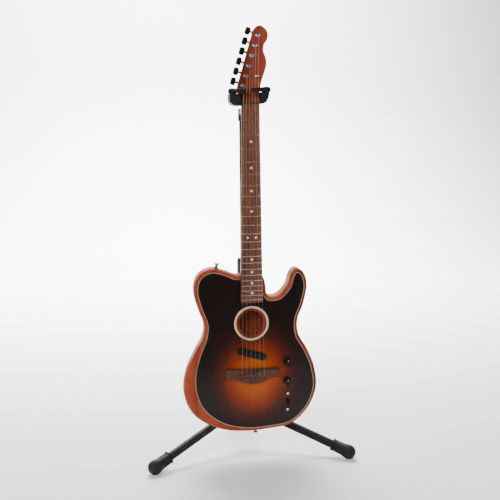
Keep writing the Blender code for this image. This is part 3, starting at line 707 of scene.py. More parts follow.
HEAD_FACE = 12.0
HEAD_BACK = 26.0
throat = between([(-17, 23.2, 12.0, 26.0, 6), (-3.9, 21.6, 6.6, 22.4, 3)], 8)
GLUE_LINE = 6.2
shaft = between([(-3.4, 22.0, 2.6), (30, 21, 2.1), (200, 22.4, 2.1), (360, 24, 2.2), (402, HEEL_DEPTH, 8),
                 (BOARD_LENGTH + 0.2, HEEL_DEPTH, 8)], 6)
shaft = [[s, half_width(s) - 0.05, GLUE_LINE, back, square] for s, back, square in shaft]
neck = skin("neck_wood", [section(*row) for row in throat + shaft])
print("neck sections:", len(throat + shaft))

# %% [markdown]
# The head is a plate with rounded edges.  Its tuner side is straight, and its other side swings
# round in one curve.  It is drilled for the posts, united with the neck, and a hole for the
# truss-rod key is drilled slanting in above the nut.

# %% Headstock
treble_edge = curve_through([Vector(p) for p in [
    (8.4, -167), (16, -177.5), (25.5, -180.5), (37, -174.5), (44, -163), (42.5, -148.5),
    (34.5, -136), (33.5, -122), (39, -108), (40.5, -92), (35.5, -73.5), (29, -55),
    (25, -37), (22.9, -14)]], 7, closed=False)
bass_edge = [(-22.9, -14), (-25, -21), (-27.6, -26.5), (-30, -31.2), (-31, -34)]
head = plate("head", [Vector(p) for p in bass_edge] + treble_edge, HEAD_FACE, HEAD_BACK, 1.6, 2.4, 4)
POSTS = [centre(f"tuner_post_{number}") for number in range(1, 7)]
drill_profile = [(0, 0), (3.8, 0), (3.8, 40), (0, 40)]
holes = [turned("drill", at(x, s, 0), BACKWARDS, drill_profile, 24) for x, s in POSTS]
truss_axis = Vector((0, 0.92, 0.38))
truss = turned("truss", at(2, -15.5, 0), truss_axis, [(0, 0), (2.7, 0), (2.7, 17), (0, 17)], 24)
unite(head, *holes, operation="DIFFERENCE")
unite(neck, head)
unite(neck, truss, operation="DIFFERENCE")
smooth_shade(neck, 32)
finish_piece(neck, NECK_MAHOGANY, "guitar", "mahogany", "neck")

# %% [markdown]
# The fretboard tapers, and its face is slightly curved across, so its section is a shallow arc.

# %% Fretboard
ARC = 1.0


def board_face(x, s):
    """Depth of the curved face at a place."""
    return ARC * (x / half_width(s)) ** 2


def board_ring(s):
    half = half_width(s)
    spread = [half * (k / 6 - 1) for k in range(13)]
    face = [at(x * 0.985, s, board_face(x, s)) for x in spread]
    return [at(-half, s, 6.0), at(-half, s, 1.7)] + face + [at(half, s, 1.7), at(half, s, 6.0)]


board = skin("playing_board", [board_ring(0.2 + (BOARD_LENGTH - 0.4) * k / 12) for k in range(13)])
finish_piece(board, BOARD_WOOD, "guitar", "rosewood", "fretboard")

# %% [markdown]
# Frets are nickel wire pressed across the board.  The distance of fret n from the nut is
# L * (1 - 2 ** (-n / 12)), which halves the string after twelve frets.

# %% Frets
STRING_LENGTH = 648.0
FRETS = 22


def fret_place(n):
    return STRING_LENGTH * (1 - 2 ** (-n / 12))


def fret_wire(n):
    s = fret_place(n)
    half = half_width(s) - 0.3
    path = []
    for k in range(11):
        x = half * (k / 5 - 1)
        path.append(at(x, s, board_face(x, s) + 0.15))
    return tube("fret", path, lambda t: 1.15 * min(1.0, 0.45 + 9 * min(t, 1 - t)), 10)


frets = join("fret_wires", [fret_wire(n) for n in range(1, FRETS + 1)])
finish_piece(frets, NICKEL, "guitar", "chrome")

# %% [markdown]
# Pearl dots mark the places between the frets, with a pair of them before the twelfth.

# %% Position dots
DOT_FRETS = (3, 5, 7, 9, 12, 15, 17, 19, 21)


def dot(x, s):
    top = board_face(x, s)
    return turned("dot", at(x, s, 0), BACKWARDS,
                  [(0, top - 0.12), (2.6, top - 0.10), (3.1, top + 0.05), (3.1, 2.5), (0, 2.5)], 28)


dots = []
for n in DOT_FRETS:
    s = (fret_place(n - 1) + fret_place(n)) / 2
    dots += [dot(x, s) for x in ((-10, 10) if n == 12 else (0,))]
finish_piece(join("position_dots", dots), PEARL, "guitar", "cream")

# %% [markdown]
# The nut is a narrow black bar with a rounded top.

# %% Nut
nut = plate("nut_bar", rectangle(-21.3, -3.5, 21.3, -0.4), -1.0, 5.9)
finish_piece(smooth_shade(soften(nut, 0.7)), NUT_BLACK, "guitar", "bone", "nut")

# %% [markdown]
# The bridge is a rosewood plate with a curved belly, a slanted black saddle and six pins whose
# heads show as small domes.

# %% Bridge, saddle and pins
BRIDGE_FACE = measure("bridge")[2]
bridge_outline = [Vector(p) for p in [(-66.8, 639.5), (66, 642.5), (66, 661.8), (47, 662.6)]]
bridge_outline += curve_through([Vector(p) for p in [
    (44.5, 663.2), (37, 669), (21, 675.5), (3, 678.3), (-15, 676), (-32, 671), (-42, 666.5)]], 5, closed=False)
bridge_outline += [Vector((-46, 665.4)), Vector((-66.8, 665))]
bridge = plate("bridge_plate", bridge_outline, BRIDGE_FACE, TOP - 0.1, 1.8, 0, 5)
finish_piece(bridge, BRIDGE_WOOD, "guitar", "rosewood", "bridge")


def slot_outline(middle, half_length, half_wide, tilt, steps=10):
    """A long shape with round ends, tilted from the x axis."""
    points = []
    for end in (1, -1):
        for k in range(steps + 1):
            a = pi * k / steps - pi / 2
            x = end * (half_length - half_wide + half_wide * cos(a))
            y = end * half_wide * sin(a)
            points.append((middle[0] + x * cos(tilt) - y * sin(tilt),
                           middle[1] + x * sin(tilt) + y * cos(tilt)))
    return points


SADDLE_BASS = Vector((-36.0, 655.6))
SADDLE_TREBLE = Vector((26.5, 645.6))
SADDLE_LEAN = (SADDLE_TREBLE.y - SADDLE_BASS.y) / (SADDLE_TREBLE.x - SADDLE_BASS.x)
saddle_outline = slot_outline((SADDLE_BASS + SADDLE_TREBLE) / 2, 31.2, 1.6, SADDLE_LEAN)
saddle = plate("saddle_bar", saddle_outline, -3.0, BRIDGE_FACE - 0.05, 1.0, 0, 4)
finish_piece(saddle, NUT_BLACK, "guitar", "bone", "saddle")


def bridge_x(i):
    return 1.0 + 10.9 * (i - 2.5)


PIN_LINE = 662.3
pin_profile = [(0, -1.9), (1.6, -1.7), (2.5, -1.0), (2.7, -0.3), (2.4, 0.15), (0, 0.15)]
pins = [turned("pin", at(bridge_x(i), PIN_LINE + 1.2, 0), BACKWARDS, pin_profile, 24) for i in range(6)]
finish_piece(join("bridge_pins", pins), BLACK_PLASTIC, "guitar", "black_plastic")

# %% [markdown]
# The pickup is a black moulded bar with round ends, slanted like the saddle but the other way.

# %% Pickup
PICKUP_LEAN = radians(16)
pickup_outline = slot_outline((-1.6, 603.6), 38.5, 9.3, PICKUP_LEAN, 14)
pickup = plate("pickup_cover", pickup_outline, 3.4, TOP - 0.1, 2.2, 0, 6)
finish_piece(pickup, BLACK_PLASTIC, "guitar", "black_plastic", "pickup")

# %% [markdown]
# Two knobs sit on the treble side.  Each is a skin over rings whose radius ripples, which makes
# the fluted grip, and a pale mark shows how far it is turned.

# %% Knobs
FLUTES = 24


def knob(name, x, s):
    """Fluted skirt, a dished top and a short shaft."""
    rows = [(3.0, 14.0, 0), (3.0, 7.0, 0), (9.3, 7.0, 0), (9.3, 5.6, 0), (8.9, 5.0, 1), (8.3, -6.6, 1),
            (7.9, -7.6, 1), (7.2, -8.1, 0), (6.2, -7.9, 0), (5.6, -7.4, 0), (0.4, -7.2, 0)]
    rings = []
    for radius, depth, fluted in rows:
        points = []
        for k in range(FLUTES * 4):
            a = 2 * pi * k / (FLUTES * 4)
            r = radius - fluted * 0.22 * (1 - cos(a * FLUTES))
            points.append(at(x + r * cos(a), s + r * sin(a), depth))
        rings.append(points)
    return skin(name, rings)


for name, (x, s) in KNOB_PLACES.items():
    finish_piece(knob(f"{name}_cap", x, s), KNOB_BLACK, name, "black_plastic", name)
    mark = plate(f"{name}_mark", rectangle(x - 0.5, s - 7.4, x + 0.5, s - 3.4), -8.2, -7.1)
    finish_piece(soften(mark, 0.2, 2), CREAM, name, "cream")

# %% [markdown]
# The selector switch is a small oval lever in a slot, with a domed screw at each end of it.  The
# screw's cross is cut with two thin bars.

# %% Selector switch
lever_rows = [(1.0, 2.4, 24.5), (1.0, 2.4, 1.6), (2.9, 3.1, 1.4), (4.0, 4.1, 0.2), (3.9, 4.0, -6.0),
              (3.3, 3.4, -8.0), (1.6, 1.7, -8.8)]
lever = skin("switch_tip", [[at(SWITCH_X + w * cos(a), SWITCH_S + h * sin(a), d)
                             for a in (2 * pi * k / 24 for k in range(24))] for w, h, d in lever_rows])
finish_piece(lever, BLACK_PLASTIC, "switch_lever", "black_plastic", "switch_lever")


def domed_screw(name, base, axis, radius, height):
    """A screw head with a cross slot."""
    profile = [(0, height), (radius * 0.55, height * 0.85), (radius * 0.9, height * 0.4), (radius, 0),
               (radius, -0.6), (0, -0.6)]
    head_piece = turned(name, base, axis, profile, 28)
    first, second = across(axis)
    up = Vector(axis).normalized()
    for long, short in ((first, second), (second, first)):
        low = base + up * (height * 0.45 * MM)
        wide, thin = long * (radius * 0.55 * MM), short * (radius * 0.12 * MM)
        slot_piece = ring_plate("cross", [low - wide - thin, low + wide - thin,
                                          low + wide + thin, low - wide + thin])
        extrude(slot_piece, up * (height * MM))
        unite(head_piece, tidy(slot_piece), operation="DIFFERENCE")
    return smooth_shade(head_piece)


switch_screws = [domed_screw("switch_screw", at(SWITCH_X, s, TOP - 0.1), FORWARDS, 3.3, 1.6)
                 for s in (SWITCH_S - 20.8, SWITCH_S + 20.1)]
finish_piece(join("switch_screws", switch_screws), CHROME, "guitar", "chrome")

# %% [markdown]
# Strap buttons are turned chrome spools, each on a felt washer.  They stand square to the body's
# side, so each one's direction comes from the rim next to it.


# %% Strap buttons
def strap_button(name, node_name, direction):
    low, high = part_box(node_name)
    base = (low + high) / 2 - direction * (6.1 * MM)
    profile = rounded_profile([(0, 0.0), (4.3, 0.0), (3.4, 5.5), (7.0, 9.6), (7.0, 11.4), (4.6, 12.4),
                               (0, 12.0)], 0.8)
    spool = turned(name, base, direction, profile, 40)
    felt = turned(f"{name}_felt", base, direction,
                  [(0, -1.2), (6.2, -1.2), (6.6, -0.6), (6.2, 0.1), (0, 0.1)], 32)
    finish_piece(spool, CHROME, "guitar", "chrome", node_name)
    finish_piece(felt, FOAM, "guitar", "stand_rubber")


def rim_direction(x, s):
    """Outward direction of the body's side nearest to a place."""
    side, beyond = rim(EDGE_FRONT, 1), rim(EDGE_FRONT + 10, 1)
    i = min(range(len(side)), key=lambda k: (side[k][0] - x) ** 2 + (side[k][1] - s) ** 2)
    return Vector((beyond[i][0] - side[i][0], 0, side[i][1] - beyond[i][1])).normalized()


strap_button("strap_spool_upper", "strap_button_upper", rim_direction(-80, 390))
strap_button("strap_spool_lower", "strap_button_lower", rim_direction(8, 801))

# %% [markdown]
# Each tuner has a chrome post with a waist for the string, a washer and bushing on the face, a
# closed gear case behind the head, and a black oval button on a short shaft.

# %% Tuner pieces
TUNER_OUT = Vector((-0.958, 0, 0.286)).normalized()
TUNER_ALONG = Vector((0.286, 0, 0.958)).normalized()
CASE_DEPTH = HEAD_BACK + 0.1


def tuner(number):
    x, s = POSTS[number - 1]
    base = at(x, s, 0)
    post = turned(f"post_{number}", base, BACKWARDS,
                  [(0, 3.1), (1.2, 2.6), (2.4, 2.6), (3, 3.2), (3, 5.8), (2.3, 6.8), (2.3, 8.6), (3, 9.4),
                   (3, 26), (0, 26)], 32)
    finish_piece(post, CHROME, f"tuner_post_{number}", "chrome", f"tuner_post_{number}")
    bush = turned(f"bushing_{number}", base, BACKWARDS,
                  [(3.2, 12.6), (3.2, 9.6), (4.2, 9.6), (4.6, 10.1), (4.7, 11.0), (5.9, 11.2), (6.1, 11.6),
                   (6.1, 12.1)], 40, hollow=True)
    finish_piece(bush, CHROME, "guitar", "chrome")
    shape = [(-6.5, -4), (-5.5, -6), (-4, -6.5), (8, -6.5), (9.8, -5.8), (10.5, -4), (10.5, 7.5), (9.8, 9.6),
             (8, 10.5), (-4, 10.5), (-5.8, 9.6), (-6.5, 7.5)]
    back = base + BACKWARDS * (CASE_DEPTH * MM)
    case = ring_plate(f"gear_case_{number}", [back + (TUNER_OUT * u + TUNER_ALONG * v) * MM for u, v in shape])
    extrude(case, BACKWARDS * (10.2 * MM))
    soften(tidy(case), 1.2, 4)
    finish_piece(smooth_shade(case), CHROME, "guitar", "chrome", f"tuner_housing_{number}")
    start = base + (TUNER_ALONG * 6.4 + BACKWARDS * 31.6) * MM
    rows = [(10.7, 3.0, 3.0), (13.2, 3.0, 3.0), (13.5, 2.4, 2.4), (16.2, 2.4, 2.4), (16.7, 5.8, 3.0),
            (17.6, 8.2, 3.8), (19.2, 9.2, 4.1), (23.2, 9.4, 4.3), (26.6, 9.1, 4.1), (28.4, 7.4, 3.6),
            (29.3, 4.6, 2.4), (29.5, 0.4, 0.3)]
    rings = []
    for distance, wide, deep in rows:
        middle = start + TUNER_OUT * (distance * MM)
        rings.append([middle + (TUNER_ALONG * (wide * cos(a)) + BACKWARDS * (deep * sin(a))) * MM
                      for a in (2 * pi * k / 32 for k in range(32))])
    button = skin(f"button_{number}", rings)
    finish_piece(button, BLACK_PLASTIC, f"tuner_button_{number}", "black_plastic", f"tuner_button_{number}")


for number in range(1, 7):
    tuner(number)

# %% [markdown]
# The two thinnest strings pass under a small chrome guide, which holds them down to the nut.

# %% String guide on the head
guide = plate("string_guide", slot_outline((16.9, -65), 6.2, 2.2, 0, 8), 5.4, 6.6, 0.5, 0.5, 3)
stem = turned("stem", at(16.9, -65, 0), BACKWARDS,
              [(0, 4.9), (1.6, 5.1), (1.9, 5.6), (1.9, 12.2), (0, 12.2)], 20)
finish_piece(unite(guide, stem), CHROME, "guitar", "chrome")

# %% [markdown]
# The strings run from a few turns round each post over the nut, down the board, across the saddle
# and into the bridge.  The four bass strings are wound, so they are thicker and warmer in colour.

# %% Strings
WRAP_TURNS = 2.5
WIRE = plain("plain_string_steel", (0.34, 0.32, 0.29), 0.3, 1.0, 0.05, 200, 0.02)
WOUND = plain("wound_string_bronze", (0.27, 0.18, 0.10), 0.4, 1.0, 0.1, 400, 0.5, 0.00008)
STRING_RADII = (0.66, 0.54, 0.44, 0.36, 0.30, 0.26)


def string_path(i, radius):
    x, s = POSTS[i]
    lift = radius + 0.25
    wrap = 2.3 + radius
    path = []
    for k in range(40, -1, -1):
        a = WRAP_TURNS * 2 * pi * k / 40
        path.append(at(x + wrap * cos(a), s - wrap * sin(a), 7.0 + 1.5 * k / 40))
    nut_x = 7.0 * (i - 2.5)
    if i >= 4:
        path.append(at(nut_x + (x + wrap - nut_x) * 0.42, -65, 7.1 + radius))
    bx = bridge_x(i)
    over = SADDLE_BASS.y + SADDLE_LEAN * (bx - SADDLE_BASS.x)
    path += [at(nut_x, -4.2, -1 - lift + 0.3), at(nut_x, -2, -1 - lift), at(nut_x, 0.5, -1 - lift)]
    path += [at(bx, over - 1.5, -3 - lift), at(bx, over + 1, -3 - lift), at(bx, over + 2.4, -2.4 - lift),
             at(bx, PIN_LINE - 1.8, BRIDGE_FACE - lift + 0.2)]
    return path


for i, radius in enumerate(STRING_RADII):
    wire = tube(f"wire_{i + 1}", string_path(i, radius), radius, 8)
    finish_piece(wire, WOUND if i < 4 else WIRE, "guitar", "string_steel", f"string_{i + 1}")

# %% [markdown]
# The stand is built round one upright column, so its places are given by a height above the floor
# and an angle round that column.


# %% Stand co-ordinates
UP = Vector((0, 0, 1))
NUT_HEIGHT = NUT_Z / MM
SHAFT_X = (SHAFT.x - MIDDLE_X) / MM
SHAFT_D = (SHAFT.y - FACE_Y) / MM
LEG_ANGLES = {"left": -60, "right": 60, "rear": 180}
FOOT_HEIGHT = 17.5
LEG_REACH = 282.0
LEG_TOP = 112.0
LEG_DROP = LEG_TOP - FOOT_HEIGHT
LEG_LENGTH = sqrt(LEG_REACH ** 2 + LEG_DROP ** 2)
PIVOT_OUT = 30.0


def column(height):
    return Vector((SHAFT.x, SHAFT.y, height * MM))


def on_stand(x, d, height):
    return at(x, NUT_HEIGHT - height, d)


def leg_frame(side):
    """Outwards, down the leg, square above it, and sideways."""
    a = radians(LEG_ANGLES[side])
    outwards = Vector((sin(a), -cos(a), 0))
    down = (outwards * LEG_REACH - UP * LEG_DROP) / LEG_LENGTH
    sideways = UP.cross(outwards).normalized()
    over = sideways.cross(down).normalized()
    return outwards, down, over if over.z > 0 else -over, sideways


def leg_pivot(side):
    return column(LEG_TOP - PIVOT_OUT * LEG_DROP / LEG_REACH) + leg_frame(side)[0] * (PIVOT_OUT * MM)


print(f"column {SHAFT_D:.0f} mm behind the fretboard's face, legs {LEG_LENGTH:.0f} mm long")

# %% [markdown]
# The hub is a turned collar.  Two ears stand out from it for each leg, and a bolt with a hexagon
# socket goes through them.


# %% Hub
def bolt(name, base, axis, radius, height):
    """A domed bolt head on a washer, with a hexagon socket."""
    profile = rounded_profile([(0, height), (radius * 0.72, height), (radius, height * 0.5), (radius, 0.6),
                               (radius * 1.35, 0.5), (radius * 1.35, -0.4), (0, -0.4)], 0.5, 2)
    head_piece = turned(name, base, axis, profile, 32)
    first, second = across(axis)
    up = Vector(axis).normalized()
    bottom = base + up * (height * 0.4 * MM)
    hexagon = [bottom + (first * cos(a) + second * sin(a)) * (radius * 0.5 * MM)
               for a in (pi * k / 3 for k in range(6))]
    key = ring_plate("key", hexagon)
    extrude(key, up * (height * MM))
    return smooth_shade(unite(head_piece, tidy(key), operation="DIFFERENCE"))


hub_profile = rounded_profile([(11.2, 90), (11.2, 126), (16.5, 126), (19.5, 122), (19.5, 119), (18.6, 118),
                               (18.6, 98), (19.5, 97), (19.5, 92), (17.5, 90), (11.2, 90)], 0.8, 2)
hub = turned("hub", column(0), UP, hub_profile[:-1], 64, hollow=True)
ears = []
bolts = []
tip_angles = [radians(-75 + 15 * k) for k in range(11)]
ear_shape = [(-14, -8.4), (0, -8.4)]
ear_shape += [(8.4 * cos(a), 8.4 * sin(a)) for a in tip_angles]
ear_shape += [(0, 8.4), (-14, 8.4)]
for side in LEG_ANGLES:
    outwards, _, _, sideways = leg_frame(side)
    pivot = leg_pivot(side)
    for hand in (1, -1):
        start = pivot + sideways * (hand * 4.5 * MM)
        ear = ring_plate("ear", [start + (outwards * u + UP * v) * MM for u, v in ear_shape])
        extrude(ear, sideways * (hand * 4 * MM))
        soften(tidy(ear), 0.8, 3)
        ears.append(smooth_shade(ear))
        bolts.append(bolt("leg_bolt", start + sideways * (hand * 4.2 * MM), sideways * hand, 3.6, 2.4))
finish_piece(join("stand_hub", [hub] + ears), POWDER_COAT, "stand_base", "stand_black", "base_hub")
finish_piece(join("leg_bolts", bolts), CHROME, "stand_base", "chrome")

# %% [markdown]
# Each leg is a channel with a raised rib along each side, so its section is drawn for one quarter
# and mirrored.  A flat tongue goes in between the hub's ears, and a rubber boot covers the end.
# The boot changes from a square sleeve to a round tread, with a flat where it stands.

# %% Legs
QUARTER = [(0, 10.5), (1.5, 10.5), (2.2, 9.8), (4.3, 9.6), (5.7, 8.8), (6.5, 7.3), (6.5, 4.2), (5.8, 3.3),
           (5.8, 1.2)]


def leg_section(wide, high):
    """The channel's cross-section with its ribs, all the way round."""
    right_top = [(w * wide, v * high) for w, v in QUARTER]
    right = right_top + [(w, -v) for w, v in reversed(right_top)]
    return right + [(-w, v) for w, v in reversed(right) if w > 0.01]


def leg(side):
    _, down, over, sideways = leg_frame(side)
    pivot = leg_pivot(side)
    beam_end = LEG_LENGTH * (1 - PIVOT_OUT / LEG_REACH) - 45.0
    rows = [(12, 0.58, 0.84), (16, 0.62, 0.86), (21, 0.9, 0.97), (24, 1, 1), (beam_end, 1, 1)]
    rings = [[pivot + (down * u + sideways * w + over * v) * MM for w, v in leg_section(wide, high)]
             for u, wide, high in rows]
    beam = skin(f"leg_beam_{side}", rings)
    eye = [radians(90 + 12 * k) for k in range(16)]
    tongue_shape = [(14.5, -8.6), (14.5, 8.6)] + [(9.3 * cos(a), 9.3 * sin(a)) for a in eye]
    tongue = ring_plate("tongue", [pivot + (down * u + over * v - sideways * 4) * MM for u, v in tongue_shape])
    extrude(tongue, sideways * (8 * MM))
    smooth_shade(soften(tidy(tongue), 0.6, 2))
    channel = join(f"leg_channel_{side}", [beam, tongue])
    finish_piece(channel, POWDER_COAT, f"leg_{side}", "stand_black", f"leg_{side}")


def boot(side):
    """A rubber boot: lip, square sleeve, and a round tread with a flat underneath."""
    outwards, down, over, sideways = leg_frame(side)
    foot = column(FOOT_HEIGHT) + outwards * (LEG_REACH * MM)
    rows = [(-45.6, 6.6, 10.6, 6), (-45.6, 11.0, 13.0, 6), (-45.0, 11.8, 13.8, 6), (-42.6, 12.0, 14.0, 6),
            (-41.8, 11.6, 13.6, 6), (-41.2, 11.0, 12.8, 6), (-30, 11.3, 13.1, 5), (-19, 12.0, 13.7, 4),
            (-14, 13.6, 14.6, 3), (-10, 15.4, 15.9, 2.4), (-5, 17.3, 17.4, 2), (0, 18, 18, 2),
            (5, 17.3, 17.3, 2), (9.5, 15.3, 15.3, 2), (13.5, 11.9, 11.9, 2), (16.4, 7.4, 7.4, 2),
            (17.7, 3.2, 3.2, 2), (18, 0.3, 0.3, 2)]
    rings = []
    for u, wide, high, square in rows:
        ring = []
        for k in range(40):
            w, v = superellipse(2 * pi * k / 40, square)
            point = foot + (down * u + sideways * (wide * w) + over * (high * v)) * MM
            point.z = max(point.z, 0.0)
            ring.append(point)
        rings.append(ring)
    finish_piece(skin(f"boot_{side}", rings), RUBBER, f"leg_{side}", "stand_rubber", f"foot_{side}")


for side in LEG_ANGLES:
    leg(side)
    boot(side)

# %% [markdown]
# The lower tube stands in the hub, and the mast slides in it.

# %% Column
LOW_R = (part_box("lower_tube")[1].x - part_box("lower_tube")[0].x) / 2 / MM
MAST_R = (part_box("mast")[1].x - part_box("mast")[0].x) / 2 / MM
MAST_LOW, MAST_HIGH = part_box("mast")[0].z / MM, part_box("mast")[1].z / MM
BORE = MAST_R + 0.5
lower = turned("lower", column(0), UP, rounded_profile(
    [(BORE, 89.2), (BORE, 469.8), (LOW_R, 469.8), (LOW_R, 89.2), (BORE, 89.2)], 0.6, 2)[:-1], 56, hollow=True)
finish_piece(lower, TUBE_BLACK, "stand_base", "stand_black", "lower_tube")
mast_profile = rounded_profile([(0, MAST_LOW), (MAST_R, MAST_LOW), (MAST_R, MAST_HIGH), (0, MAST_HIGH)], 0.8, 3)
mast = turned("mast_tube", column(0), UP, mast_profile, 56)
finish_piece(mast, TUBE_BLACK, "mast", "stand_black", "mast")

# %% [markdown]
# A moulded clutch on top of the lower tube grips the mast.  Its trigger hangs from a pin between
# two ears behind, and squeezing it lets the mast slide.

# %% Clutch
RIBS = 20


def clutch_body():
    """A moulded sleeve with shallow grip ribs round its middle."""
    rows = [(LOW_R + 0.3, 440.3, 0), (LOW_R + 0.3, 470.5, 0), (BORE + 0.2, 471.5, 0), (BORE + 0.2, 502.6, 0),
            (11.5, 503, 0), (13.4, 502.4, 0), (15.4, 499.6, 0), (15.8, 498, 0), (15.8, 492, 0),
            (15.9, 490.5, 1), (15.9, 462, 1), (15.8, 460, 0), (15.8, 453, 0), (14.6, 443, 0), (14.0, 440.4, 0),
            (LOW_R + 0.3, 440.3, 0)]
    rings = []
    for radius, height, ribbed in rows:
        ring = []
        for k in range(RIBS * 4):
            a = 2 * pi * k / (RIBS * 4)
            r = radius - ribbed * 0.35 * (1 - cos(a * RIBS))
            ring.append(column(height) + Vector((cos(a), sin(a), 0)) * (r * MM))
        rings.append(ring)
    return skin("clutch_sleeve", rings, capped=False)


def box_piece(name, low, high, softness=0.8):
    """A block between two corners given as (x, d, height) from the column, with soft edges."""
    (x0, d0, z0), (x1, d1, z1) = low, high
    footprint = ((x0, d0), (x1, d0), (x1, d1), (x0, d1))
    piece = ring_plate(name, [on_stand(SHAFT_X + x, SHAFT_D + d, z0) for x, d in footprint])
    extrude(piece, (0, 0, (z1 - z0) * MM))
    soften(tidy(piece), softness, 3)
    return smooth_shade(piece)


clutch_ears = [box_piece("ear", (low, 11.5, 486.3), (high, 25.6, 499.7))
               for low, high in ((-11.4, -8.3), (8.3, 11.4))]
clutch_collar = join("clutch_collar", [clutch_body()] + clutch_ears)
finish_piece(clutch_collar, BLACK_PLASTIC, "stand_base", "stand_black", "height_clutch")
pin_profile = rounded_profile([(0, -12.0), (2.2, -12.0), (2.2, 12.0), (0, 12.0)], 0.5, 2)
pin = turned("clutch_pin", on_stand(SHAFT_X, SHAFT_D + 21, 494), Vector((1, 0, 0)), pin_profile, 24)
finish_piece(pin, CHROME, "stand_base", "chrome")
trigger_shape = [(18.2, 499.2), (22.6, 500.4), (24.0, 496), (24.8, 489), (29.4, 470), (33.6, 452.6),
                 (33, 448.4), (30.6, 446.6), (27.6, 448.2), (23, 467), (19.4, 486)]
trigger = ring_plate("trigger", [on_stand(SHAFT_X - 7.6, SHAFT_D + out, height)
                                 for out, height in trigger_shape])
extrude(trigger, (15.2 * MM, 0, 0))
soften(tidy(trigger), 1.2, 3)
finish_piece(smooth_shade(trigger), BLACK_PLASTIC, "clutch_trigger", "stand_black", "clutch_trigger")

# %% [markdown]
# Behind the body a small folding rest keeps the guitar off the column: a bracket, a bar, and a
# foam sleeve at each side.

# %% Backrest
REST_HEIGHT = (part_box("backrest_bracket")[0].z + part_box("backrest_bracket")[1].z) / 2 / MM
REST_D = measure("backrest_pad_left")[2] + 12.0
bracket = turned("bracket", column(REST_HEIGHT), UP, rounded_profile(
    [(LOW_R + 0.3, -13), (LOW_R + 0.3, 13), (15.4, 13), (17, 11), (17, -11), (15.4, -13), (LOW_R + 0.3, -13)],
    0.7, 2)[:-1], 56, hollow=True)
rest_ears = [box_piece("ear", (low, -31.4, REST_HEIGHT - 6), (high, -12.8, REST_HEIGHT + 6))
             for low, high in ((-10.4, -6.5), (6.5, 10.4))]
rest_bracket = join("rest_bracket", [bracket] + rest_ears)
finish_piece(rest_bracket, BLACK_PLASTIC, "stand_base", "stand_black", "backrest_bracket")
rest_bolts = [bolt("rest_bolt", on_stand(SHAFT_X + hand * 10.3, SHAFT_D - 26, REST_HEIGHT),
                   (hand, 0, 0), 3, 1.6) for hand in (1, -1)]
finish_piece(join("rest_bolts", rest_bolts), CHROME, "stand_base", "chrome")
rest_arm = box_piece("rest_arm", (-5.9, REST_D - SHAFT_D - 4, REST_HEIGHT - 4.9),
                     (5.9, -21.2, REST_HEIGHT + 4.9), 1.6)
rod_profile = rounded_profile([(0, 0), (5.5, 0), (5.5, 116), (0, 116)], 1.6, 4)
rest_rod = turned("rest_rod", on_stand(SHAFT_X - 58, REST_D, REST_HEIGHT), Vector((1, 0, 0)), rod_profile, 32)
finish_piece(join("rest_bar", [rest_arm, rest_rod]), POWDER_COAT, "backrest", "stand_black", "backrest_bar")
sleeve_profile = rounded_profile([(5.7, 0.2), (5.7, 48.8), (10.4, 48.8), (12, 46.6), (11.8, 36), (12, 24.5),
                                  (11.8, 12), (12, 2.4), (10.4, 0.2), (5.7, 0.2)], 1.2, 3)[:-1]
for side, hand in (("left", -1), ("right", 1)):
    sleeve = turned(f"rest_foam_{side}", on_stand(SHAFT_X + hand * 7, REST_D, REST_HEIGHT),
                    Vector((hand, 0, 0)), sleeve_profile, 48, hollow=True)
    finish_piece(sleeve, FOAM, "backrest", "stand_rubber", f"backrest_pad_{side}")

# %% [markdown]
# The yoke sits on the mast.  A socket slides over the mast's top, a square beam carries the yoke
# forward, and a cross bar behind the head ends in two arms for the rubber prongs.


# %% Yoke
def square_bar(name, start, end, half_wide, half_high, square=5):
    """A straight bar whose section is nearly a rectangle."""
    axis = (end - start).normalized()
    side_way = axis.cross(UP).normalized()
    over = side_way.cross(axis).normalized()
    rings = []
    for point in (start, end):
        ring = []
        for k in range(32):
            w, v = superellipse(2 * pi * k / 32, square)
            ring.append(point + (side_way * (half_wide * w) + over * (half_high * v)) * MM)
        rings.append(ring)
    return skin(name, rings)


SOCKET_R = (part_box("yoke_fork")[1].y - SHAFT.y) / MM
socket = turned("socket", column(0), UP, rounded_profile(
    [(BORE, NUT_HEIGHT - 36), (BORE, NUT_HEIGHT - 13.7), (0.8, NUT_HEIGHT - 13.7), (0.8, NUT_HEIGHT - 6),
     (SOCKET_R - 2, NUT_HEIGHT - 6), (SOCKET_R, NUT_HEIGHT - 8), (SOCKET_R, NUT_HEIGHT - 36),
     (BORE, NUT_HEIGHT - 36)], 0.7, 2)[:-1], 48, hollow=True)
yoke_beam = square_bar("yoke_beam", at(SHAFT_X, 17, SHAFT_D - 9.2), at(-2, -2, 42), 7, 7)
cross_shape = [(-46, -4), (-43, 1), (-34, 3.4), (22, 1), (30, -3), (36, -9), (39, -16), (39, -21), (36, -23),
               (31, -20), (28, -11), (-34, -10), (-38, -16), (-44, -17), (-46, -13)]
yoke_bar = plate("yoke_bar", cross_shape, 35.1, 46.9, 1.6, 1.6, 4)
finish_piece(join("yoke_frame", [socket, yoke_beam, yoke_bar]), POWDER_COAT, "yoke", "stand_black", "yoke_fork")

# %% [markdown]
# Two thick rubber prongs hold the head.  On each of them a rubber hump turns on a pin, and its
# finger closes in front of the strings.  The treble prong stands higher than the bass one.  Each
# row gives the hump's x, its hand, its rise, the finger's end, and the prong's outline as
# distances outwards and down from the nut.

# %% Prongs and grips
PRONGS = {
    "left": (-43.0, -1, 0.0, -13.0, [(28.4, -23.7), (24.6, -12), (23.3, 1), (25.5, 4), (38, 3), (46, -0.5),
                                     (49.5, -6), (50, -14), (50, -23.7)]),
    "right": (37.5, 1, 4.0, -2.0, [(24.4, -27.7), (23.3, -14), (23.1, -4), (25, -1), (31, -1.5), (37, -6),
                                   (41.5, -15), (43.2, -23), (43.2, -27.7)]),
}


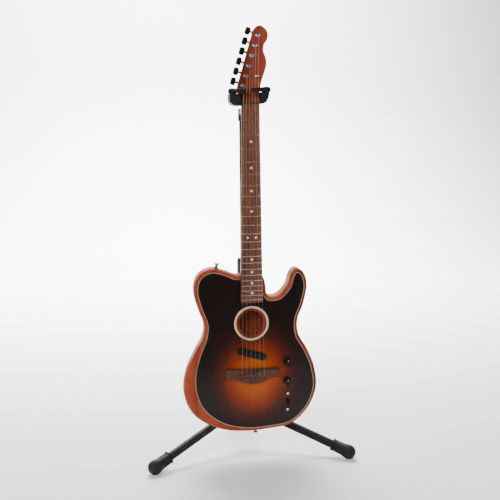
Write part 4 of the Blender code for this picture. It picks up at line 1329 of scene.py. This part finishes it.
def prong(side, hand, outline):
    """Thick rubber, rolled over at the front and underneath."""
    shape = [Vector((hand * u, s)) for u, s in outline]
    rounded = curve_through(shape[2:-1], 5, closed=False)
    piece = plate(f"prong_{side}", [tuple(p) for p in shape[:2] + rounded + shape[-1:]], -9, 34.6, 2.4, 1.5, 6)
    finish_piece(piece, RUBBER, "yoke", "stand_rubber", f"yoke_pad_{side}")


def grip(side, x, hand, rise, finger_end):
    low = -24 - rise
    hump_profile = [(0, 0.1), (9.6, 0.1), (10.4, 0.9), (10.5, 3.5), (10.4, 6.6), (9.9, 8.4), (8.8, 10.1),
                    (7.2, 11.5), (5, 12.2), (2.5, 12.4), (0, 12.4)]
    hump = turned("hump", at(x, low, 1.0), UP, hump_profile, 48)
    path = [at(x, low - 5.7, -3), at(x - hand * 5, low - 5.7, -6.5), at(x - hand * 10, low - 5.6, -9),
            at(x - hand * 20, low - 5.3 + rise / 4, -11), at(finger_end, low - 5.2 + rise / 2, -11)]
    points = curve_through(path, 6, closed=False)

    def girth(t):
        """Round tip, a little fatter where it leaves the hump."""
        return (5.0 + 0.6 * (1 - t)) * sqrt(max(0.02, 1 - max(0.0, (t - 0.86) / 0.14) ** 2))

    finger = tube("finger", points, girth, 24)
    rubber = join(f"grip_rubber_{side}", [hump, finger])
    finish_piece(rubber, RUBBER, f"grip_{side}", "stand_rubber", f"grip_{side}")


for side, (x, hand, rise, finger_end, outline) in PRONGS.items():
    prong(side, hand, outline)
    grip(side, x, hand, rise, finger_end)

# %% [markdown]
# The studio is a pale sweep: a floor that curves up into a wall.  The floor stops short of the
# camera, so that the dark face of the guitar doesn't mirror it.

# %% Studio sweep
FLOOR_END = 2.2
BEND = 1.2
THICK = 0.3
bend_angles = [pi / 2 * k / 16 for k in range(1, 17)]
sweep_top = [(-0.9, 0.0), (FLOOR_END, 0.0)]
sweep_top += [(FLOOR_END + BEND * sin(a), BEND - BEND * cos(a)) for a in bend_angles]
sweep_top.append((FLOOR_END + BEND, 5.0))
sweep_under = [(y + THICK, z - THICK) for y, z in reversed(sweep_top)]
sweep = skin("sweep", [[Vector((x, y, z)) for y, z in sweep_top + sweep_under] for x in (-6, 6)])
paper = plain("studio_paper", (0.86, 0.86, 0.86), 0.8, 0, 0.01, 3, 0.0)
sweep.data.materials.append(paper)

# %% [markdown]
# The light comes from soft panels.  The key stands in front on the bass side and the fill on the
# other.  Two wide panels light the floor and the wall, and their spread is narrow, so that they
# don't also wash over the guitar's top edges.  The world gives only a little light.


# %% Lights and world
def panel(name, place, target, size, power, spread=pi):
    bpy.ops.object.light_add(type="AREA", location=place)
    light = bpy.context.object
    light.name = name
    light.data.shape = "SQUARE"
    light.data.size = size
    light.data.energy = power
    light.data.spread = spread
    light.rotation_euler = (Vector(target) - Vector(place)).to_track_quat("-Z", "Y").to_euler()
    return light


panel("key", (-1.5, -2.3, 1.9), (0, 0, 0.45), 1.3, 78)
panel("fill", (1.9, -1.9, 1.3), (0, 0, 0.5), 1.6, 26)
panel("overhead", (0, 2.1, 3.0), (0, 2.2, 0), 2.4, 240, 1.75)
panel("wall_wash", (0, 1.9, 3.6), (0, 3.6, 0.9), 3.0, 300, 1.75)
world = bpy.data.worlds.new("studio")
bpy.context.scene.world = world
world.use_nodes = True
background = world.node_tree.nodes["Background"]
background.inputs["Color"].default_value = (1, 1, 1, 1)
background.inputs["Strength"].default_value = 0.14
